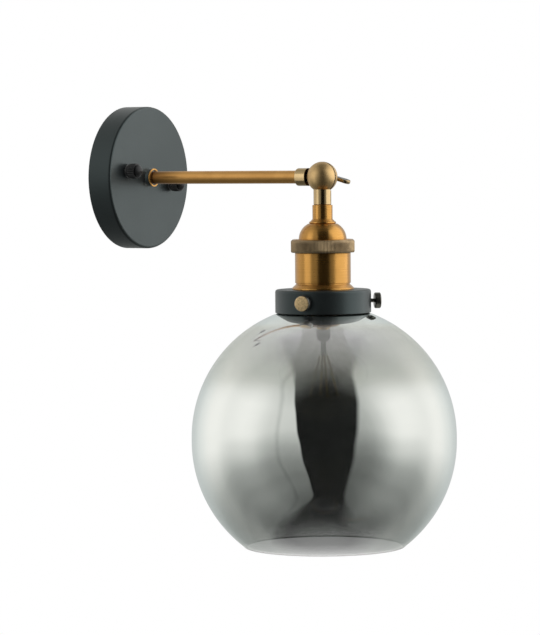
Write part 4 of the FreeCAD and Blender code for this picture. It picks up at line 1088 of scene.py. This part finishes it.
# The tent's opening by height: its middle, its half width and the softness of its edges
OPENING_MIDDLE = (
    (-1, -0.12), (-0.89, -0.087), (-0.74, 0.02), (-0.6, 0.035), (0.06, 0.022), (0.55, 0.01), (1, -0.02))
OPENING_HALF = (
    (-1, 0.25), (-0.95, 0.2), (-0.89, 0.21), (-0.8, 0.205), (-0.72, 0.19), (-0.6, 0.21), (-0.3, 0.31),
    (0.06, 0.395), (0.34, 0.42), (0.6, 0.41), (0.8, 0.345), (0.95, 0.25), (1, 0.18))
OPENING_SOFT = ((-1, 0.25), (-0.9, 0.25), (-0.68, 0.025), (0.72, 0.025), (0.9, 0.12), (1, 0.2))
LEFT_EDGE_SOFT, RIGHT_EDGE_SOFT, SIDE_BLEND = 0.025, 0.06, 0.05

# What shows in the opening: dim at the foot, and rising to grey at the crown, later at its middle
OPENING_FOOT = ((-1, 0.08), (-0.92, 0.018), (-0.79, 0.013), (-0.66, 0.008), (1, 0.008))
OPENING_CROWN = (
    (0.5, 0.008), (0.66, 0.008), (0.76, 0.014), (0.86, 0.06), (0.92, 0.1), (0.97, 0.13), (1, 0.16),
    (1.1, 0.22), (1.2, 0.28))
CROWN_MIDDLE, CROWN_ARCH = 0.03, 0.45

# Brightness of the cloth: the walls from behind the lamp to the front, the roof and ground by height
LEFT_WALL = (
    (-1, 0.62), (-0.8, 0.79), (-0.6, 0.94), (-0.36, 1.0), (-0.13, 0.94), (0.09, 0.97), (0.28, 0.98),
    (0.45, 0.9), (0.6, 0.76), (0.8, 0.69), (1, 0.67))
RIGHT_WALL = (
    (-1, 0.62), (-0.8, 0.79), (-0.6, 0.94), (-0.4, 1.0), (-0.17, 0.94), (0.05, 0.97), (0.25, 0.99),
    (0.42, 0.93), (0.57, 0.76), (0.7, 0.56), (0.8, 0.45), (1, 0.38))
WALL_BLEND = 0.04
ROOF = (
    (-1, 1.0), (0.3, 1.0), (0.45, 0.99), (0.67, 0.81), (0.76, 0.72), (0.85, 0.63), (0.9, 0.47),
    (0.94, 0.36), (0.97, 0.28), (1, 0.24))
GROUND = (
    (-1, 0.06), (-0.85, 0.12), (-0.68, 0.235), (-0.5, 0.29), (-0.25, 0.5), (0, 0.9), (0.2, 1.0), (1, 1.0))
CLOTH_DIM, CLOTH_BRIGHT = (0.94, 1.0, 0.97, 1), (1.0, 0.995, 0.98, 1)

# What is added to the height at which the ground is read, from behind the lamp to the front
GROUND_SHIFT = (
    (-1, 0.2), (-0.75, 0.19), (-0.3, 0.145), (0, 0.03), (0.45, -0.02), (0.75, -0.13), (1, -0.15))

# A fold in the left wall: its distance from the opening's middle by height, its width and its shade
FOLD = ((-0.7, 0.4), (-0.3, 0.62), (0.06, 0.69), (0.53, 0.595), (0.757, 0.507), (0.93, 0.3))
FOLD_WIDTH, FOLD_SHADE = 0.04, 0.82

# From front to back, where the fold ends and where the cloth closes behind the lamp
FOLD_END, CLOTH_CLOSES = (0.1, -0.1), (0.1, -0.5)


class SetStage(bpy.types.Operator):
    """Camera, two softboxes and a strip, a white tent open towards the camera, and a pale floor"""

    bl_idname = "wall_lamp.set_stage"
    bl_label = "Stage"

    def execute(self, context):
        stage = context.scene.lamp_stage
        context.scene.view_settings.view_transform = "Standard"
        context.scene.cycles.transparent_max_bounces = GLASS_WALLS
        self.camera(context, stage)
        self.softboxes(context, stage)
        self.floor(context, stage)
        self.clear_the_mirror(context)
        self.room(context, stage)
        return {"FINISHED"}

    def away(self, azimuth, elevation):
        """Direction from the lamp to something at an azimuth and elevation."""
        level = math.cos(elevation)
        return Vector((math.sin(azimuth) * level, -math.cos(azimuth) * level, math.sin(elevation)))

    def camera(self, context, stage):
        """Camera at the picture's angle, turned about its line of sight by the roll."""
        back = self.away(stage.azimuth, stage.elevation)
        level = Vector((math.cos(stage.azimuth), math.sin(stage.azimuth), 0))
        upright = back.cross(level)
        right = level * math.cos(stage.roll) + upright * math.sin(stage.roll)
        up = upright * math.cos(stage.roll) - level * math.sin(stage.roll)
        data = bpy.data.cameras.new("camera")
        data.lens = stage.lens
        data.sensor_width = FILM_WIDTH
        camera = bpy.data.objects.new("camera", data)
        turn = Matrix((right, up, back)).transposed().to_4x4()
        camera.matrix_world = Matrix.Translation(Vector(stage.target) + back * stage.distance) @ turn
        context.scene.collection.objects.link(camera)
        context.scene.camera = camera

    def softboxes(self, context, stage):
        """Softboxes that face the middle of the shade."""
        middle = Vector((0, PIVOT.y, PIVOT.z - LIT_DROP))
        for name, turn, rise, width, power in SOFTBOXES:
            away = self.away(stage.azimuth + math.radians(turn), math.radians(rise))
            data = bpy.data.lights.new(name, "AREA")
            data.shape, data.size, data.size_y = "RECTANGLE", width, SOFTBOX_HEIGHT
            data.energy = getattr(stage, power)
            lamp = bpy.data.objects.new(name, data)
            facing = away.to_track_quat("Z", "Y").to_matrix().to_4x4()
            lamp.matrix_world = Matrix.Translation(middle + away * SOFTBOX_AWAY) @ facing
            lamp.visible_camera = False
            lamp.visible_glossy = name != "softbox_left"
            context.scene.collection.objects.link(lamp)
            self.choose_lit(lamp)

    def choose_lit(self, lamp):
        """The strip lights the polished brass alone, and the softboxes light all but the globe."""
        chosen = bpy.data.collections.new(lamp.name + "_receivers")
        lamp.light_linking.receiver_collection = chosen
        if lamp.name == "strip_left":
            for piece in STRIP_LIT:
                chosen.objects.link(bpy.data.objects[piece])
            return
        chosen.objects.link(bpy.data.objects["globe_shade"])
        chosen.collection_objects[0].light_linking.link_state = "EXCLUDE"

    def floor(self, context, stage):
        """Plain pale floor that mirrors don't show."""
        mesh = bmesh.new()
        bmesh.ops.create_grid(mesh, x_segments=8, y_segments=8, size=FLOOR_HALF)
        bmesh.ops.translate(mesh, verts=mesh.verts, vec=(0, PIVOT.y, stage.floor_level))
        data = bpy.data.meshes.new("floor")
        mesh.to_mesh(data)
        mesh.free()
        floor = bpy.data.objects.new("floor", data)
        context.scene.collection.objects.link(floor)
        data.materials.append(self.floor_finish(stage))
        floor.visible_glossy = False

    def floor_finish(self, stage):
        """Matt floor that the camera sees pale, and sees through from below."""
        finish = skin_finish("finish_floor", stage.floor_colour, roughness=(0.6, 0.75), grain=300.0,
                             drift=0.02, **{"Emission Strength": FLOOR_GLOW})
        sheet, sockets = opened(finish)
        seen = sheet.add("ShaderNodeLightPath").outputs["Is Camera Ray"]
        sheet.feed(sockets["Emission Color"], sheet.mix(seen, BLACK, WHITE))
        below = sheet.add("ShaderNodeNewGeometry").outputs["Backfacing"]
        sheet.feed(sockets["Alpha"], sheet.maths("SUBTRACT", 1.0, below))
        return finish

    def clear_the_mirror(self, context):
        """The pieces at the wall stay out of mirror images, as if a pale cloth hung before them."""
        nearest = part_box("arm_collar_ring")[0].y
        for piece in context.scene.objects:
            if piece.type == "MESH" and min(corner[1] for corner in piece.bound_box) > nearest:
                piece.visible_glossy = False

    def room(self, context, stage):
        """Plain white behind the lamp, even light on it, and the tent in all that it mirrors."""
        world = bpy.data.worlds.new("studio")
        context.scene.world = world
        world.use_nodes = True
        sheet = Sheet(world.node_tree)
        sheet.tree.nodes.clear()
        ray = sheet.add("ShaderNodeLightPath").outputs
        tent = self.tent(sheet, stage.azimuth)
        mirrored = sheet.maths("MAXIMUM", ray["Is Glossy Ray"], ray["Is Transmission Ray"])
        shown = sheet.maths("MAXIMUM", sheet.between(mirrored, ROOM_LIGHT, tent), ray["Is Camera Ray"])
        colour = sheet.mix(mirrored, WHITE, sheet.mix(tent, CLOTH_DIM, CLOTH_BRIGHT))
        light = sheet.add("ShaderNodeBackground", {"Color": colour, "Strength": shown})
        sheet.add("ShaderNodeOutputWorld", {"Surface": light.outputs["Background"]})

    def tent(self, sheet, azimuth):
        """Brightness of a white tent round the lamp, by direction; its opening faces the camera."""
        sine, cosine = math.sin(azimuth), math.cos(azimuth)
        direction = sheet.add("ShaderNodeTexCoord").outputs["Generated"]
        front = sheet.along(direction, (sine, -cosine, 0.0))
        across = sheet.along(direction, (cosine, sine, 0.0))
        height = sheet.along(direction, (0.0, 0.0, 1.0))
        aside = sheet.maths("SUBTRACT", across, sheet.graded(height, OPENING_MIDDLE))
        beside = sheet.maths("ABSOLUTE", aside)
        right = sheet.spread(aside, -WALL_BLEND, WALL_BLEND)
        walls = sheet.between(right, sheet.graded(front, LEFT_WALL), sheet.graded(front, RIGHT_WALL))
        fold = sheet.spread(
            sheet.distance(beside, sheet.graded(height, FOLD)), 0.0, FOLD_WIDTH, FOLD_SHADE, 1.0)
        unfolded = sheet.maths("MAXIMUM", right, sheet.spread(front, *FOLD_END))
        low = sheet.maths("ADD", height, sheet.graded(front, GROUND_SHIFT))
        lit = sheet.product(walls, sheet.between(unfolded, fold, 1.0), sheet.graded(height, ROOF),
                            sheet.graded(low, GROUND))
        side_soft = sheet.spread(aside, -SIDE_BLEND, SIDE_BLEND, LEFT_EDGE_SOFT, RIGHT_EDGE_SOFT)
        soft = sheet.maths("MAXIMUM", side_soft, sheet.graded(height, OPENING_SOFT))
        past_edge = sheet.maths("SUBTRACT", beside, sheet.graded(height, OPENING_HALF))
        behind = sheet.spread(front, *CLOTH_CLOSES)
        cloth = sheet.maths("MAXIMUM", sheet.spread(past_edge, 0.0, soft), behind)
        arch = sheet.product(sheet.distance(aside, CROWN_MIDDLE), CROWN_ARCH)
        crown = sheet.graded(sheet.maths("ADD", height, arch), OPENING_CROWN)
        unlit = sheet.maths("MAXIMUM", sheet.graded(height, OPENING_FOOT), crown)
        return sheet.maths("MAXIMUM", sheet.product(lit, cloth), unlit)


class LampPanel(bpy.types.Panel):
    """Sizes, finishes and build steps of the wall lamp"""

    bl_idname = "VIEW3D_PT_wall_lamp"
    bl_label = "Wall lamp"
    bl_space_type = "VIEW_3D"
    bl_region_type = "UI"
    bl_category = "Wall Lamp"

    def draw(self, context):
        scene, layout = context.scene, self.layout
        groups = {"Sizes": scene.lamp_sizes, "Finishes": scene.lamp_finishes, "Stage": scene.lamp_stage}
        for title, group in groups.items():
            box = layout.box()
            box.label(text=title)
            for name in type(group).__annotations__:
                box.prop(group, name)
        for step in STEPS:
            layout.operator(step.bl_idname)


STEPS = (
    BuildCanopy, BuildArm, BuildKnuckle, BuildHolder, BuildGallery, BuildGlobe, BuildBulb, DressWiring,
    SetStage)
GROUPS = {"lamp_sizes": LampSizes, "lamp_finishes": LampFinishes, "lamp_stage": LampStage}


def register():
    """Register the settings, the steps and the panel."""
    for group in GROUPS.values():
        bpy.utils.register_class(group)
    for name, group in GROUPS.items():
        setattr(bpy.types.Scene, name, PointerProperty(type=group))
    for step in STEPS:
        bpy.utils.register_class(step)
    bpy.utils.register_class(LampPanel)


def unregister():
    """Take the panel, the steps and the settings out again."""
    bpy.utils.unregister_class(LampPanel)
    for step in reversed(STEPS):
        bpy.utils.unregister_class(step)
    for name in GROUPS:
        delattr(bpy.types.Scene, name)
    for group in reversed(list(GROUPS.values())):
        bpy.utils.unregister_class(group)


def main():
    """Build the lamp and its stage."""
    register()
    for step in STEPS:
        area, action = step.bl_idname.split(".")
        getattr(getattr(bpy.ops, area), action)()


if __name__ == "__main__":
    main()
